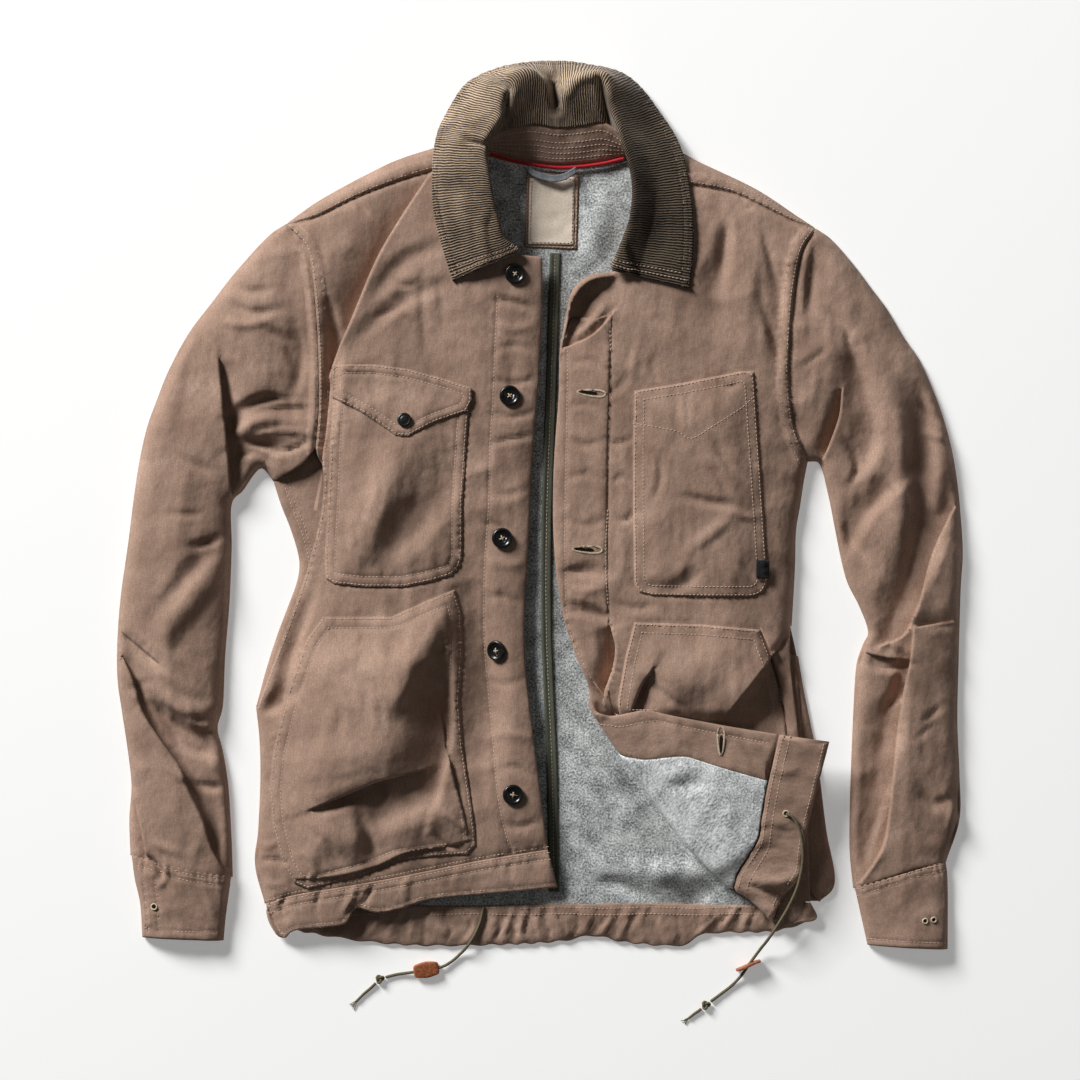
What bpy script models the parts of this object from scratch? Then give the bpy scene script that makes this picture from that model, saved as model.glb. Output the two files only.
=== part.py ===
"""Chore jacket, laid flat on a table with its fronts open and one lower front corner turned back.

Millimetres in the tables below, metres in the meshes. +Z is up, +Y runs to the collar, and +X is the
wearer's left. Every panel is cut flat from named seam lines, and is then laid at its height: the upper
layer is a soft dome between the garment's side edges, with the largest folds as troughs and ridges.
"""

import math

import bmesh
import bpy
import numpy as np
from mathutils import Matrix, Vector, geometry

MM = 0.001
GAP = 0.3  # between neighbouring pieces

# Cloth thicknesses
CANVAS = 2.0
FLEECE = 2.5
PATCH = 1.5  # pockets, bands and facings
CORDUROY = 3.0

# Spacing of the points inside a panel
FRONT_GRID = 20.0
SLEEVE_GRID = 22.0
FLAT_GRID = 46.0

# Height of the upper layer above the table
EDGE_HEIGHT = 5.0  # at a side edge
ROLL_HEIGHT = 7.0  # gained in the tight roll beside the edge
ROLL_WIDTH = 5.0
LOFT_HEIGHT = 12.0  # gained in the broad dome
LOFT_WIDTH = 90.0
OPENING_DROP = 5.0  # lost at the front edges
OPENING_WIDTH = 18.0
COVERED_HEIGHT = 11.0  # of the left front where the turned corner lies on it
CORNER_PULL = (6.0, 15.0)  # how far the corner was pulled along X and Y after it was turned
CORNER_SPREAD = 0.11  # how much longer it then lies along X
CORNER_SLACK = 25.0  # the cloth past the roll that takes up the pull

# The turned-back corner: where the fold line crosses the front edge, its direction and its inner radius
FOLD_START = (44.0, -192.0)
FOLD_ANGLE = math.radians(-52.0)
FOLD_RADIUS = 5.0
FOLD_STEPS = 6

DISC_SIDES = 16
BUTTON_DIAMETER = 19.0
BUTTON_THICKNESS = 3.6
SNAP_DIAMETER = 13.0
CORD_DIAMETER = 2.8
CORD_STEP = 7.0  # between the points of a cord

# Seam lines and edges, each a short run of (x, y)
RIGHT_SHOULDER_EDGE = [(-97, 328), (-125, 319), (-150, 308), (-200, 281), (-233, 258)]
RIGHT_SHOULDER_SEAM = [(-66, 315), (-97, 308), (-130, 298), (-170, 282), (-205, 265), (-233, 258)]
RIGHT_ARMHOLE = [(-233, 258), (-214, 236), (-207, 205), (-203, 150), (-202, 90), (-205, 52)]
RIGHT_UNDERARM = [(-205, 52), (-219, 36), (-244, 22)]
RIGHT_SLEEVE_OUTER = [
    (-233, 258), (-250, 246), (-280, 213), (-300, 187), (-322, 158), (-340, 125), (-351, 98), (-361, 70),
    (-368, 38), (-373, 5), (-378, -35), (-385, -85), (-388, -125), (-388, -160), (-384, -190), (-378, -230),
    (-375, -260), (-377, -290), (-376, -322),
]
RIGHT_CUFF_SEAM = [(-376, -322), (-350, -328), (-320, -337), (-284, -342)]
RIGHT_CUFF_END = [(-366, -399), (-355, -402), (-320, -403), (-291, -402)]
RIGHT_CUFF_OUTER = [(-376, -322), (-373, -345), (-368, -368), (-366, -399)]
RIGHT_CUFF_INNER = [(-291, -402), (-289, -380), (-286, -358), (-284, -342)]
RIGHT_SLEEVE_INNER = [
    (-284, -342), (-285, -310), (-288, -260), (-293, -228), (-298, -206), (-293, -185), (-291, -140),
    (-287, -90), (-285, -40), (-285, 0), (-274, 14), (-262, 31), (-254, 34), (-244, 22),
]
RIGHT_SIDE_EDGE = [
    (-244, 22), (-237, 0), (-229, -20), (-222, -42), (-220, -57), (-223, -74), (-232, -98), (-241, -122),
    (-250, -150), (-260, -187),
]
RIGHT_LOW_EDGE = [(-260, -187), (-257, -215), (-256, -250), (-258, -300), (-261, -332), (-252, -368)]
RIGHT_FRONT_SIDE = [
    (-205, 52), (-198, 30), (-199, 0), (-205, -30), (-215, -65), (-228, -102), (-243, -142), (-260, -187),
]
RIGHT_HEM_SEAM = [
    (-252, -368), (-225, -359), (-180, -351), (-140, -344),
    (-100, -336), (-50, -326), (8, -317),
]
RIGHT_HEM_EDGE = [
    (-252, -368), (-247, -386), (-236, -400), (-225, -392), (-200, -389), (-178, -385), (-168, -371),
    (-150, -375), (-130, -372), (-100, -363), (-50, -358), (17, -352),
]
RIGHT_FRONT_EDGE = [
    (8, -317), (1, -262), (-6, -205), (-12, -150), (-13, -100),
    (-10, -45), (-8, 0), (-5, 55), (0, 120), (3, 190),
    (3, 227),
]
RIGHT_NECK = [(-22, 229), (-40, 240), (-54, 262), (-62, 290), (-66, 315)]

LEFT_SHOULDER_EDGE = [(133, 323), (150, 314), (200, 290), (238, 265), (255, 254)]
LEFT_SHOULDER_SEAM = [(102, 301), (135, 295), (175, 288), (205, 275), (232, 262), (255, 254)]
LEFT_ARMHOLE = [
    (255, 254), (242, 235), (235, 205), (231, 170),
    (229, 130), (230, 100), (235, 70), (247, 41),
]
LEFT_SLEEVE_OUTER = [
    (255, 254), (270, 243), (290, 220), (305, 200), (320, 180),
    (335, 155), (350, 133), (362, 107), (372, 80),
    (380, 50), (385, 20), (388, -10), (390, -45), (388, -80),
    (386, -150), (385, -200), (387, -250), (387, -290),
    (375, -328),
]
LEFT_CUFF_SEAM = [(375, -328), (345, -334), (320, -342), (291, -352)]
LEFT_CUFF_OUTER = [(375, -328), (377, -350), (377, -410)]
LEFT_CUFF_END = [(377, -410), (340, -408), (303, -406)]
LEFT_CUFF_INNER = [(303, -406), (299, -388), (291, -352)]
LEFT_SLEEVE_INNER = [
    (291, -352), (288, -320), (288, -285), (289, -250), (291, -200), (294, -150), (300, -130), (305, -117),
    (297, -94), (286, -72), (280, -50), (274, -20), (268, 10), (260, 38), (247, 41),
]
LEFT_BODY_EDGE = [(247, 41), (243, 20), (240, 0), (236, -25), (235, -60), (232, -112)]
LEFT_SIDE_EDGE = [
    (232, -112), (238, -140), (243, -170), (250, -205), (256, -235), (264, -300), (272, -348), (258, -366),
]
LEFT_FRONT_SIDE = [
    (232, -112), (231, -135), (234, -170), (238, -205), (243, -250), (247, -300), (249, -345), (250, -366),
]
LEFT_HEM_SEAM = [(28, -357), (90, -359), (150, -362), (200, -364), (250, -366)]
LEFT_HEM_EDGE = [
    (24, -400), (90, -400), (160, -399), (190, -399),
    (215, -395), (235, -387), (256, -382), (250, -366),
]
LEFT_FRONT_EDGE = [
    (23, 165), (19, 140), (18, 100), (15, 60), (13, 20),
    (13, -20), (15, -55), (19, -85), (24, -110), (31, -132),
    (34, -155), (36, -178), (38, -200), (36, -250), (32, -310), (28, -357),
]
LEFT_NECK = [(102, 301), (98, 275), (90, 245), (80, 223), (68, 213)]
LEFT_NECK_EDGE = [(68, 213), (50, 211), (36, 203), (28, 190), (23, 165)]
BACK_NECK = [(102, 318), (80, 318), (50, 313), (15, 311), (-20, 315), (-45, 321), (-66, 322)]

# Outlines of what is sewn onto the panels
RIGHT_CHEST_POCKET = [
    (-189, 112), (-150, 112), (-110, 108), (-63, 98), (-66, 60),
    (-70, 0), (-70, -45), (-72, -56), (-80, -65),
    (-100, -71), (-125, -76), (-160, -76), (-188, -73), (-196, -68), (-197, -55), (-194, 0), (-191, 60),
]
CHEST_FLAP = [
    (-190, 128), (-150, 128), (-120, 124), (-90, 116), (-62, 107),
    (-61, 96), (-66, 85), (-95, 75), (-120, 62),
    (-131, 63), (-160, 83), (-189, 98),
]
LEFT_CHEST_POCKET = [
    (87, 104), (130, 111), (160, 117), (185, 122), (197, 122),
    (200, 80), (203, 40), (207, -20), (210, -68), (207, -80),
    (196, -85), (150, -85), (104, -84), (92, -81), (87, -72), (86, 0), (86, 60),
]
RIGHT_HAND_POCKET = [
    (-198, -103), (-135, -103), (-100, -87), (-77, -78), (-71, -100),
    (-70, -140), (-73, -180), (-70, -220), (-64, -260),
    (-59, -295), (-58, -312), (-66, -321), (-100, -323),
    (-128, -327), (-160, -340), (-212, -353), (-225, -348),
    (-236, -330), (-245, -295), (-248, -262), (-244, -225), (-230, -170), (-214, -125),
]
LEFT_HAND_POCKET = [
    (87, -108), (150, -110), (203, -115), (213, -140), (222, -170),
    (227, -200), (230, -240), (231, -290), (227, -325),
    (213, -340), (150, -345), (88, -341), (77, -330), (72, -290), (71, -230), (72, -180), (79, -140),
]
LEFT_PLACKET_INNER = [(64, -357), (64, -250), (64, -150), (63, -50), (63, 50), (65, 120), (67, 176)]
FACING_INNER = [(72, -358), (70, -300), (67, -240), (65.5, -200)]
BACK_LINING = [
    (-60, 318), (-20, 312), (15, 308), (55, 310), (98, 315),
    (150, 300), (215, 265), (212, 200), (210, 90), (222, 20),
    (222, -110), (235, -250), (240, -358), (120, -360),
    (15, -360), (-120, -362), (-235, -360), (-238, -210),
    (-212, -100), (-198, -40), (-190, 60), (-190, 230), (-120, 298),
]
BACK_HEM_EDGE = [
    (-232, -392), (-170, -402), (-110, -407), (-30, -406), (20, -403), (50, -398), (80, -404), (130, -407),
    (156, -396), (215, -394), (246, -386),
]
BACK_HEM_TOP = -368.8
LABEL = [(-8.5, 301), (33, 302), (32, 239), (-10, 240)]
LABEL_BACKING = [(-11.5, 306), (37, 306), (35, 235), (-13.5, 237)]
FLAG_LABEL = [(199, -51), (211, -51), (211, -68), (199, -68)]
SEAM_TAPE = [
    (10, 232), (20, 232), (16, 100), (12, -20), (12, -120),
    (17, -240), (19, -357), (9, -357), (7, -240), (2, -120),
    (2, -20), (6, 100),
]
HANGER_LOOP = [(-10, 309), (-3, 304), (12, 300), (24, 302), (34, 308)]

# Folds: start, middle and end of the line, height (troughs are negative), widths to its left and right
FOLDS = [
    # right front and its pockets
    ((-100, 306), (-148, 222), (-190, 130), 7.0, 42, 9),
    ((-182, 268), (-186, 225), (-184, 180), -4.5, 14, 12),
    ((-92, 238), (-125, 222), (-155, 188), -3.5, 14, 12),
    ((-82, 205), (-130, 185), (-168, 150), -3.0, 12, 12),
    ((-62, -85), (-58, -140), (-50, -200), -5.0, 14, 26),
    ((-212, -275), (-165, -262), (-105, -246), -8.0, 12, 26),
    ((-232, -245), (-170, -228), (-100, -215), 5.0, 26, 20),
    ((-152, -262), (-158, -300), (-150, -332), -5.0, 12, 12),
    # right sleeve
    ((-297, 128), (-294, 72), (-284, 15), -9.0, 8, 12),
    ((-287, 88), (-252, 108), (-212, 92), -5.0, 9, 9),
    ((-268, 72), (-240, 80), (-208, 74), -4.5, 8, 8),
    ((-388, -132), (-345, -215), (-287, -335), 5.0, 10, 30),
    ((-352, -190), (-330, -222), (-305, -255), -6.0, 14, 10),
    ((-340, -120), (-315, -85), (-290, -58), 4.0, 14, 14),
    # left sleeve
    ((343, 130), (353, 40), (350, -60), -11.0, 12, 14),
    ((350, -40), (340, -95), (318, -128), -9.0, 9, 12),
    ((276, 106), (274, 78), (256, 45), -7.0, 9, 6),
    ((296, 148), (307, 95), (284, 22), -6.0, 12, 12),
    ((345, 34), (312, 10), (286, -28), -5.0, 12, 12),
    ((343, -110), (330, -215), (294, -348), 5.0, 30, 8),
    ((298, -143), (318, -150), (336, -146), -4.0, 9, 9),
    # left front
    ((206, 190), (214, 150), (222, 105), -4.0, 12, 12),
    ((150, 260), (165, 215), (160, 150), -3.0, 20, 24),
]

# Folds of the back lining where it shows
LINING_FOLDS = [
    ((45, -325), (75, -338), (108, -336), 4.0, 18, 18),
    ((24, -225), (42, -262), (52, -310), 3.0, 24, 24),
    ((60, 285), (55, 250), (45, 225), 3.0, 20, 20),
]

# Folds of the turned-back corner, in the place where it lies
CORNER_FOLDS = [
    ((105, -262), (130, -256), (152, -258), -2.5, 9, 12),
    ((160, -196), (185, -215), (205, -225), 2.0, 14, 14),
    ((195, -345), (212, -352), (228, -346), 3.0, 12, 10),
]

# The collar across its width: the neck seam, the stand's top, the roll and the outer edge, as (x, y, z),
# at stations from the wearer's right end of the collar, round the back of the neck, to the left end
COLLAR_STATIONS = [
    ((-25, 236, 20), (-22, 234, 25), (-19, 230, 30), (-79, 204, 24)),
    ((-36, 250, 20), (-34, 246, 27), (-34, 241, 35), (-90, 240, 23)),
    ((-50, 274, 20), (-46, 272, 29), (-42, 270, 38), (-97, 270, 22)),
    ((-57, 302, 19), (-52, 301, 29), (-47, 300, 39), (-98, 302, 20)),
    ((-58, 326, 14), (-54, 328, 27), (-50, 330, 39), (-95, 335, 14)),
    ((-46, 326, 9), (-42, 339, 24), (-36, 353, 40), (-86, 360, 7)),
    ((-28, 321, 8), (-28, 345, 24), (-27, 377, 41), (-66, 389, 5)),
    ((-8, 317, 8), (-6, 349, 22), (-6, 391, 40), (-36, 403, 4)),
    ((17, 314, 8), (18, 346, 21), (16, 372, 30), (5, 409, 4)),
    ((40, 315, 8), (40, 348, 22), (40, 386, 39), (45, 406, 4)),
    ((62, 318, 8), (59, 350, 24), (60, 386, 41), (84, 394, 5)),
    ((80, 322, 9), (73, 340, 24), (67, 358, 40), (116, 355, 7)),
    ((91, 321, 14), (84, 326, 27), (77, 331, 39), (131, 327, 14)),
    ((97, 303, 19), (92, 301, 29), (86, 299, 39), (137, 298, 20)),
    ((96, 275, 20), (91, 271, 29), (86, 267, 38), (141, 266, 22)),
    ((85, 248, 20), (82, 245, 27), (79, 240, 34), (141, 232, 22)),
    ((71, 222, 20), (70, 219, 25), (68, 214, 30), (138, 198, 23)),
]
COLLAR_COLUMNS = 42
STAND_ROWS = 3
COLLAR_ROWS = 8

# Buttons down the right front, and the snap on the flap
BUTTONS = [(-22, 211), (-27, 99.5), (-34, -31), (-38, -134), (-24, -266)]
SNAP = (-123, 77)

# Drawcords: (x, y, z) from where each leaves the hem to its toggle, knot and free end
RIGHT_CORD = [
    (-51, -371, 7.2), (-54, -384, 7.2), (-59, -396, 7.2),
    (-66, -407, 6.5), (-73, -415, 3.0), (-81, -422, 2.4),
    (-90.2, -426.8, 3.2), (-104, -429.3, 3.2), (-117.8, -431.8, 3.2), (-132, -434, 1.8), (-147, -438, 2.4),
]
RIGHT_TAIL = [(-147, -438, 2.4), (-155, -446, 1.7), (-162, -452, 1.6), (-169, -459, 1.6)]
LEFT_CORD = [
    (226, -283, 30), (232, -286, 31), (238, -297, 31), (241, -312, 29), (241, -330, 26), (237, -350, 23),
    (230, -367, 20), (221, -383, 19), (211, -399, 15), (203, -411, 7), (193, -425, 5.5), (187, -434, 4),
    (178, -444, 2), (165, -454, 1.8), (154, -462, 2.4),
]
LEFT_TAIL = [(154, -462, 2.4), (148, -467, 1.7), (143, -470.5, 1.6), (138, -474.5, 1.6)]
RIGHT_TOGGLE = dict(centre=(-104, -429.3, 3.2), size=(23.5, 13.5, 5.0), angle=9.0)
LEFT_TOGGLE = dict(centre=(193, -425, 5.6), size=(24.0, 2.6, 11.0), angle=10.0)
KNOT_SIZE = (7.5, 6.0, 4.6)
CORD_BORE = 4.0

GATHER_LENGTH = 20.0  # of one wave in the back's hem band

# How far the pockets stand out, and over what width that fades to their edges
CHEST_POCKET_SWELL = (3.0, 32.0)
RIGHT_HAND_SWELL = (12.0, 55.0)
LEFT_HAND_SWELL = (7.0, 45.0)

CANVAS_COLOUR = (0.30, 0.19, 0.145)
CORDUROY_COLOUR = (0.19, 0.135, 0.09)
FLEECE_COLOUR = (0.31, 0.32, 0.32)


# ---------------------------------------------------------------- lines and heights


def run(points, step=FRONT_GRID):
    """A smooth line through the points, with a point about every step."""
    p = np.array(points, float)
    padded = np.vstack([2 * p[0] - p[1], p, 2 * p[-1] - p[-2]])
    fine = []
    for a, b, c, d in zip(padded, padded[1:], padded[2:], padded[3:]):
        for t in np.linspace(0, 1, 12, endpoint=False):
            squared = (2 * a - 5 * b + 4 * c - d) * t**2
            cubed = (3 * b - a - 3 * c + d) * t**3
            fine.append(0.5 * (2 * b + (c - a) * t + squared + cubed))
    fine = np.array(fine + [p[-1]])
    length = np.concatenate([[0], np.cumsum(np.linalg.norm(np.diff(fine, axis=0), axis=1))])
    count = max(1, round(length[-1] / step))
    at = np.linspace(0, length[-1], count + 1)
    return np.column_stack([np.interp(at, length, fine[:, k]) for k in range(fine.shape[1])])


def outline(*runs):
    """One closed outline from runs that follow each other end to end."""
    points = []
    for r in runs:
        for p in r:
            if not points or np.linalg.norm(np.subtract(p, points[-1])) > 0.5:
                points.append(tuple(p))
    if np.linalg.norm(np.subtract(points[0], points[-1])) < 0.5:
        points.pop()
    return points


def distance_to(x, y, line):
    """Distance of each point to a polyline, and on which side: positive to the left of its direction."""
    best = np.full(np.shape(x), 1e9)
    side = np.ones(np.shape(x))
    along = np.zeros(np.shape(x))
    for k, ((ax, ay), (bx, by)) in enumerate(zip(line[:-1], line[1:])):
        ux, uy = bx - ax, by - ay
        t = np.clip(((x - ax) * ux + (y - ay) * uy) / (ux * ux + uy * uy), 0, 1)
        d = np.hypot(x - ax - t * ux, y - ay - t * uy)
        nearer = d < best
        side = np.where(nearer, np.sign(ux * (y - ay) - uy * (x - ax)), side)
        along = np.where(nearer, (k + t) / (len(line) - 1), along)
        best = np.minimum(best, d)
    return best, side, along


def folds_at(x, y, folds):
    """Sum of the soft troughs and ridges in a table of folds."""
    total = np.zeros(np.shape(x))
    for start, middle, end, height, left, right in folds:
        line = run([start, middle, end], 12.0)
        d, side, along = distance_to(x, y, line)
        across = np.clip(1 - d / np.where(side > 0, left, right), 0, 1)
        ends = np.sin(math.pi * np.clip(along, 0.02, 0.98)) ** 0.5
        total += height * ends * across * across * (3 - 2 * across)
    return total


SIDE_LINES = [
    RIGHT_SHOULDER_EDGE,
    RIGHT_SLEEVE_OUTER + RIGHT_CUFF_OUTER[1:],
    RIGHT_CUFF_INNER + RIGHT_SLEEVE_INNER[1:],
    RIGHT_SIDE_EDGE + RIGHT_LOW_EDGE[1:] + [(-236, -400)],
    LEFT_SHOULDER_EDGE,
    LEFT_SLEEVE_OUTER + LEFT_CUFF_OUTER[1:],
    LEFT_CUFF_INNER + LEFT_SLEEVE_INNER[1:],
    LEFT_BODY_EDGE + LEFT_SIDE_EDGE[1:] + [(262, -382)],
]
OPENING_LINES = [RIGHT_FRONT_EDGE + [(17, -352)], LEFT_NECK_EDGE + LEFT_FRONT_EDGE[1:12]]


def smooth_step(t):
    t = np.clip(t, 0, 1)
    return t * t * (3 - 2 * t)


def to_side(x, y):
    return np.minimum.reduce([distance_to(x, y, line)[0] for line in SIDE_LINES])


def upper(x, y):
    """Height of the outer face of the upper layer."""
    d = to_side(x, y)
    toward_hem = 0.4 + 0.6 * smooth_step((y + 400) / 150)
    z = EDGE_HEIGHT + ROLL_HEIGHT * (1 - np.exp(-d / ROLL_WIDTH))
    z += LOFT_HEIGHT * np.sin(0.5 * math.pi * np.minimum(1, d / LOFT_WIDTH)) * toward_hem
    opening = np.minimum.reduce([distance_to(x, y, line)[0] for line in OPENING_LINES])
    z -= OPENING_DROP * np.exp(-opening / OPENING_WIDTH)
    z += folds_at(x, y, FOLDS) * smooth_step(d / 12)
    return np.maximum(z, EDGE_HEIGHT)


def side_layer(x, y):
    """Height of the side panels, which run in under the fronts."""
    return EDGE_HEIGHT - 0.6 + 3.6 * (1 - np.exp(-to_side(x, y) / 10))


def left_upper(x, y):
    """The upper layer of the left front, which is pressed down where the turned corner lies on it."""
    z = upper(x, y)
    covered = smooth_step((-165 - y) / 35)
    return z - covered * np.maximum(0, z - COVERED_HEIGHT)


# ---------------------------------------------------------------- laying the cloth


def lay(height):
    """A rule that puts a flat piece at its height: w is the depth below the outer face."""

    def place(x, y, w):
        return np.column_stack([x, y, height(x, y) - w])

    return place


def on_table(x, y, w):
    """Puts a flat piece on the table: w is measured from the table down."""
    return np.column_stack([x, y, -w])


FOLD_DIRECTION = np.array([math.cos(FOLD_ANGLE), math.sin(FOLD_ANGLE)])
FOLD_NORMAL = np.array([FOLD_DIRECTION[1], -FOLD_DIRECTION[0]])  # toward the cloth that turns
FOLD_ARC = math.pi * FOLD_RADIUS


def beyond_fold(x, y):
    return (x - FOLD_START[0]) * FOLD_NORMAL[0] + (y - FOLD_START[1]) * FOLD_NORMAL[1]


def lay_left_front(x, y, w):
    """Lays a flat piece on the left front. Past the fold line it rolls over and lies inside up."""
    w = np.broadcast_to(w, x.shape)
    s = beyond_fold(x, y)
    foot_x = x - s * FOLD_NORMAL[0]
    foot_y = y - s * FOLD_NORMAL[1]
    flat = left_upper(x, y) - w
    base = left_upper(foot_x, foot_y)
    steps = np.linspace(0, math.pi, FOLD_STEPS + 1)
    arc = np.clip(s, 0, FOLD_ARC) / FOLD_RADIUS
    out = np.interp(arc, steps, np.sin(steps)) * (FOLD_RADIUS + w)
    rise = np.interp(arc, steps, -np.cos(steps)) * (FOLD_RADIUS + w)
    past = np.maximum(0, s - FOLD_ARC)
    reach = out - past
    pulled = smooth_step(past / CORNER_SLACK)
    lie_x = foot_x + reach * FOLD_NORMAL[0]
    lie_x += pulled * (CORNER_PULL[0] + CORNER_SPREAD * (lie_x - FOLD_START[0]))
    lie_y = foot_y + reach * FOLD_NORMAL[1] + pulled * CORNER_PULL[1]
    corner = folds_at(lie_x, lie_y, CORNER_FOLDS) * smooth_step(past / 12)
    level = COVERED_HEIGHT + (base - COVERED_HEIGHT) * np.exp(-past / 60)
    turned = level + FOLD_RADIUS + rise + corner
    folded = s > 0
    return np.column_stack([
        np.where(folded, lie_x, x), np.where(folded, lie_y, y), np.where(folded, turned, flat),
    ])


# ---------------------------------------------------------------- making the solids


def collection(name):
    c = bpy.data.collections.new(name)
    bpy.context.scene.collection.children.link(c)
    return c


def material(name, colour, roughness=0.9, metallic=0.0):
    m = bpy.data.materials.new(name)
    m.use_nodes = True
    m.diffuse_color = (*colour, 1)
    shader = m.node_tree.nodes["Principled BSDF"]
    shader.inputs["Base Color"].default_value = (*colour, 1)
    shader.inputs["Roughness"].default_value = roughness
    shader.inputs["Metallic"].default_value = metallic
    return m


def finish(name, mesh, colour, roughness=0.9):
    """One named object with its own material."""
    o = bpy.data.objects.new(name, mesh)
    o.data.materials.append(material(name + "_finish", colour, roughness))
    jacket.objects.link(o)
    return o


def inside(x, y, polygon):
    """Which points lie inside a closed outline."""
    hit = np.zeros(np.shape(x), bool)
    for (ax, ay), (bx, by) in zip(polygon, polygon[1:] + polygon[:1]):
        crosses = (ay > y) != (by > y)
        with np.errstate(divide="ignore", invalid="ignore"):
            hit ^= crosses & (x < (bx - ax) * (y - ay) / (by - ay) + ax)
    return hit


def counterclockwise(polygon):
    twice_area = sum(ax * by - bx * ay for (ax, ay), (bx, by) in zip(polygon, polygon[1:] + polygon[:1]))
    return list(polygon) if twice_area > 0 else list(polygon)[::-1]


def cut(panel, patches=(), lines=(), grid=FRONT_GRID, dense=None):
    """Cuts a panel flat: returns its points, and the triangles of the panel and of each patch on it.

    The outlines of the patches and the extra lines are edges of the panel's own triangles, so a patch
    is made from the panel's points. dense is a box (x0, x1, y0, y1) that alone gets inner points.
    """
    outlines = [counterclockwise(o) for o in (panel, *patches)]
    xs, ys = zip(*panel)
    points = []
    for row, y in enumerate(np.arange(min(ys), max(ys), grid * 0.87)):
        for x in np.arange(min(xs) + (row % 2) * grid / 2, max(xs), grid):
            points.append((x, y))
    points = np.array(points)
    keep = inside(points[:, 0], points[:, 1], outlines[0])
    if dense:
        keep &= (points[:, 0] > dense[0]) & (points[:, 0] < dense[1])
        keep &= (points[:, 1] > dense[2]) & (points[:, 1] < dense[3])
    for o in outlines:
        keep &= distance_to(points[:, 0], points[:, 1], o + o[:1])[0] > 0.55 * grid
    for line in lines:
        keep &= distance_to(points[:, 0], points[:, 1], line)[0] > 0.4 * grid
    points = points[keep]
    verts, faces, edges = [], [], []
    for o in outlines:
        faces.append(list(range(len(verts), len(verts) + len(o))))
        verts += o
    for line in lines:
        edges += [(len(verts) + k, len(verts) + k + 1) for k in range(len(line) - 1)]
        verts += [tuple(p) for p in line]
    verts += [tuple(p) for p in points]
    result = geometry.delaunay_2d_cdt([Vector(v) for v in verts], edges, faces, 1, 1e-4)
    xy = np.array([tuple(v) for v in result[0]])
    triangles = {k: [] for k in range(len(outlines))}
    for f, owners in zip(result[2], result[5]):
        if 0 not in owners:
            continue
        a, b, c = (xy[i] for i in f)
        if (b[0] - a[0]) * (c[1] - a[1]) < (b[1] - a[1]) * (c[0] - a[0]):
            f = f[::-1]
        for owner in owners:
            triangles[owner].append(tuple(f))
    return xy, [triangles[k] for k in range(len(outlines))]


def wall(name, xy, triangles, place, outer, inner, colour, roughness=0.9):
    """A closed wall of cloth between two depths below the outer face, drawn in by half a gap all round."""
    directed = {(f[i], f[(i + 1) % 3]) for f in triangles for i in range(3)}
    border = [(a, b) for a, b in sorted(directed) if (b, a) not in directed]
    used = sorted({i for f in triangles for i in f})
    inward = {i: np.zeros(2) for i in used}
    for a, b in border:
        edge = xy[b] - xy[a]
        normal = np.array([-edge[1], edge[0]]) / np.linalg.norm(edge)
        inward[a] = inward[a] + normal
        inward[b] = inward[b] + normal
    drawn = np.array([xy[i] + inward[i] / max(np.linalg.norm(inward[i]), 1e-9) * GAP / 2 for i in used])
    x, y = drawn[:, 0], drawn[:, 1]
    outer = outer(x, y) if callable(outer) else outer
    inner = inner(x, y) if callable(inner) else inner
    outer, inner = (np.broadcast_to(w, x.shape) for w in (outer, inner))
    points = np.vstack([place(x, y, outer), place(x, y, inner)])
    index = {i: k for k, i in enumerate(used)}
    n = len(used)
    faces = [tuple(index[i] for i in f) for f in triangles]
    faces += [tuple(index[i] + n for i in reversed(f)) for f in triangles]
    faces += [(index[a] + n, index[b] + n, index[b], index[a]) for a, b in border]
    mesh = bpy.data.meshes.new(name)
    mesh.from_pydata(points * MM, [], faces)
    return finish(name, mesh, colour, roughness)


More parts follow.
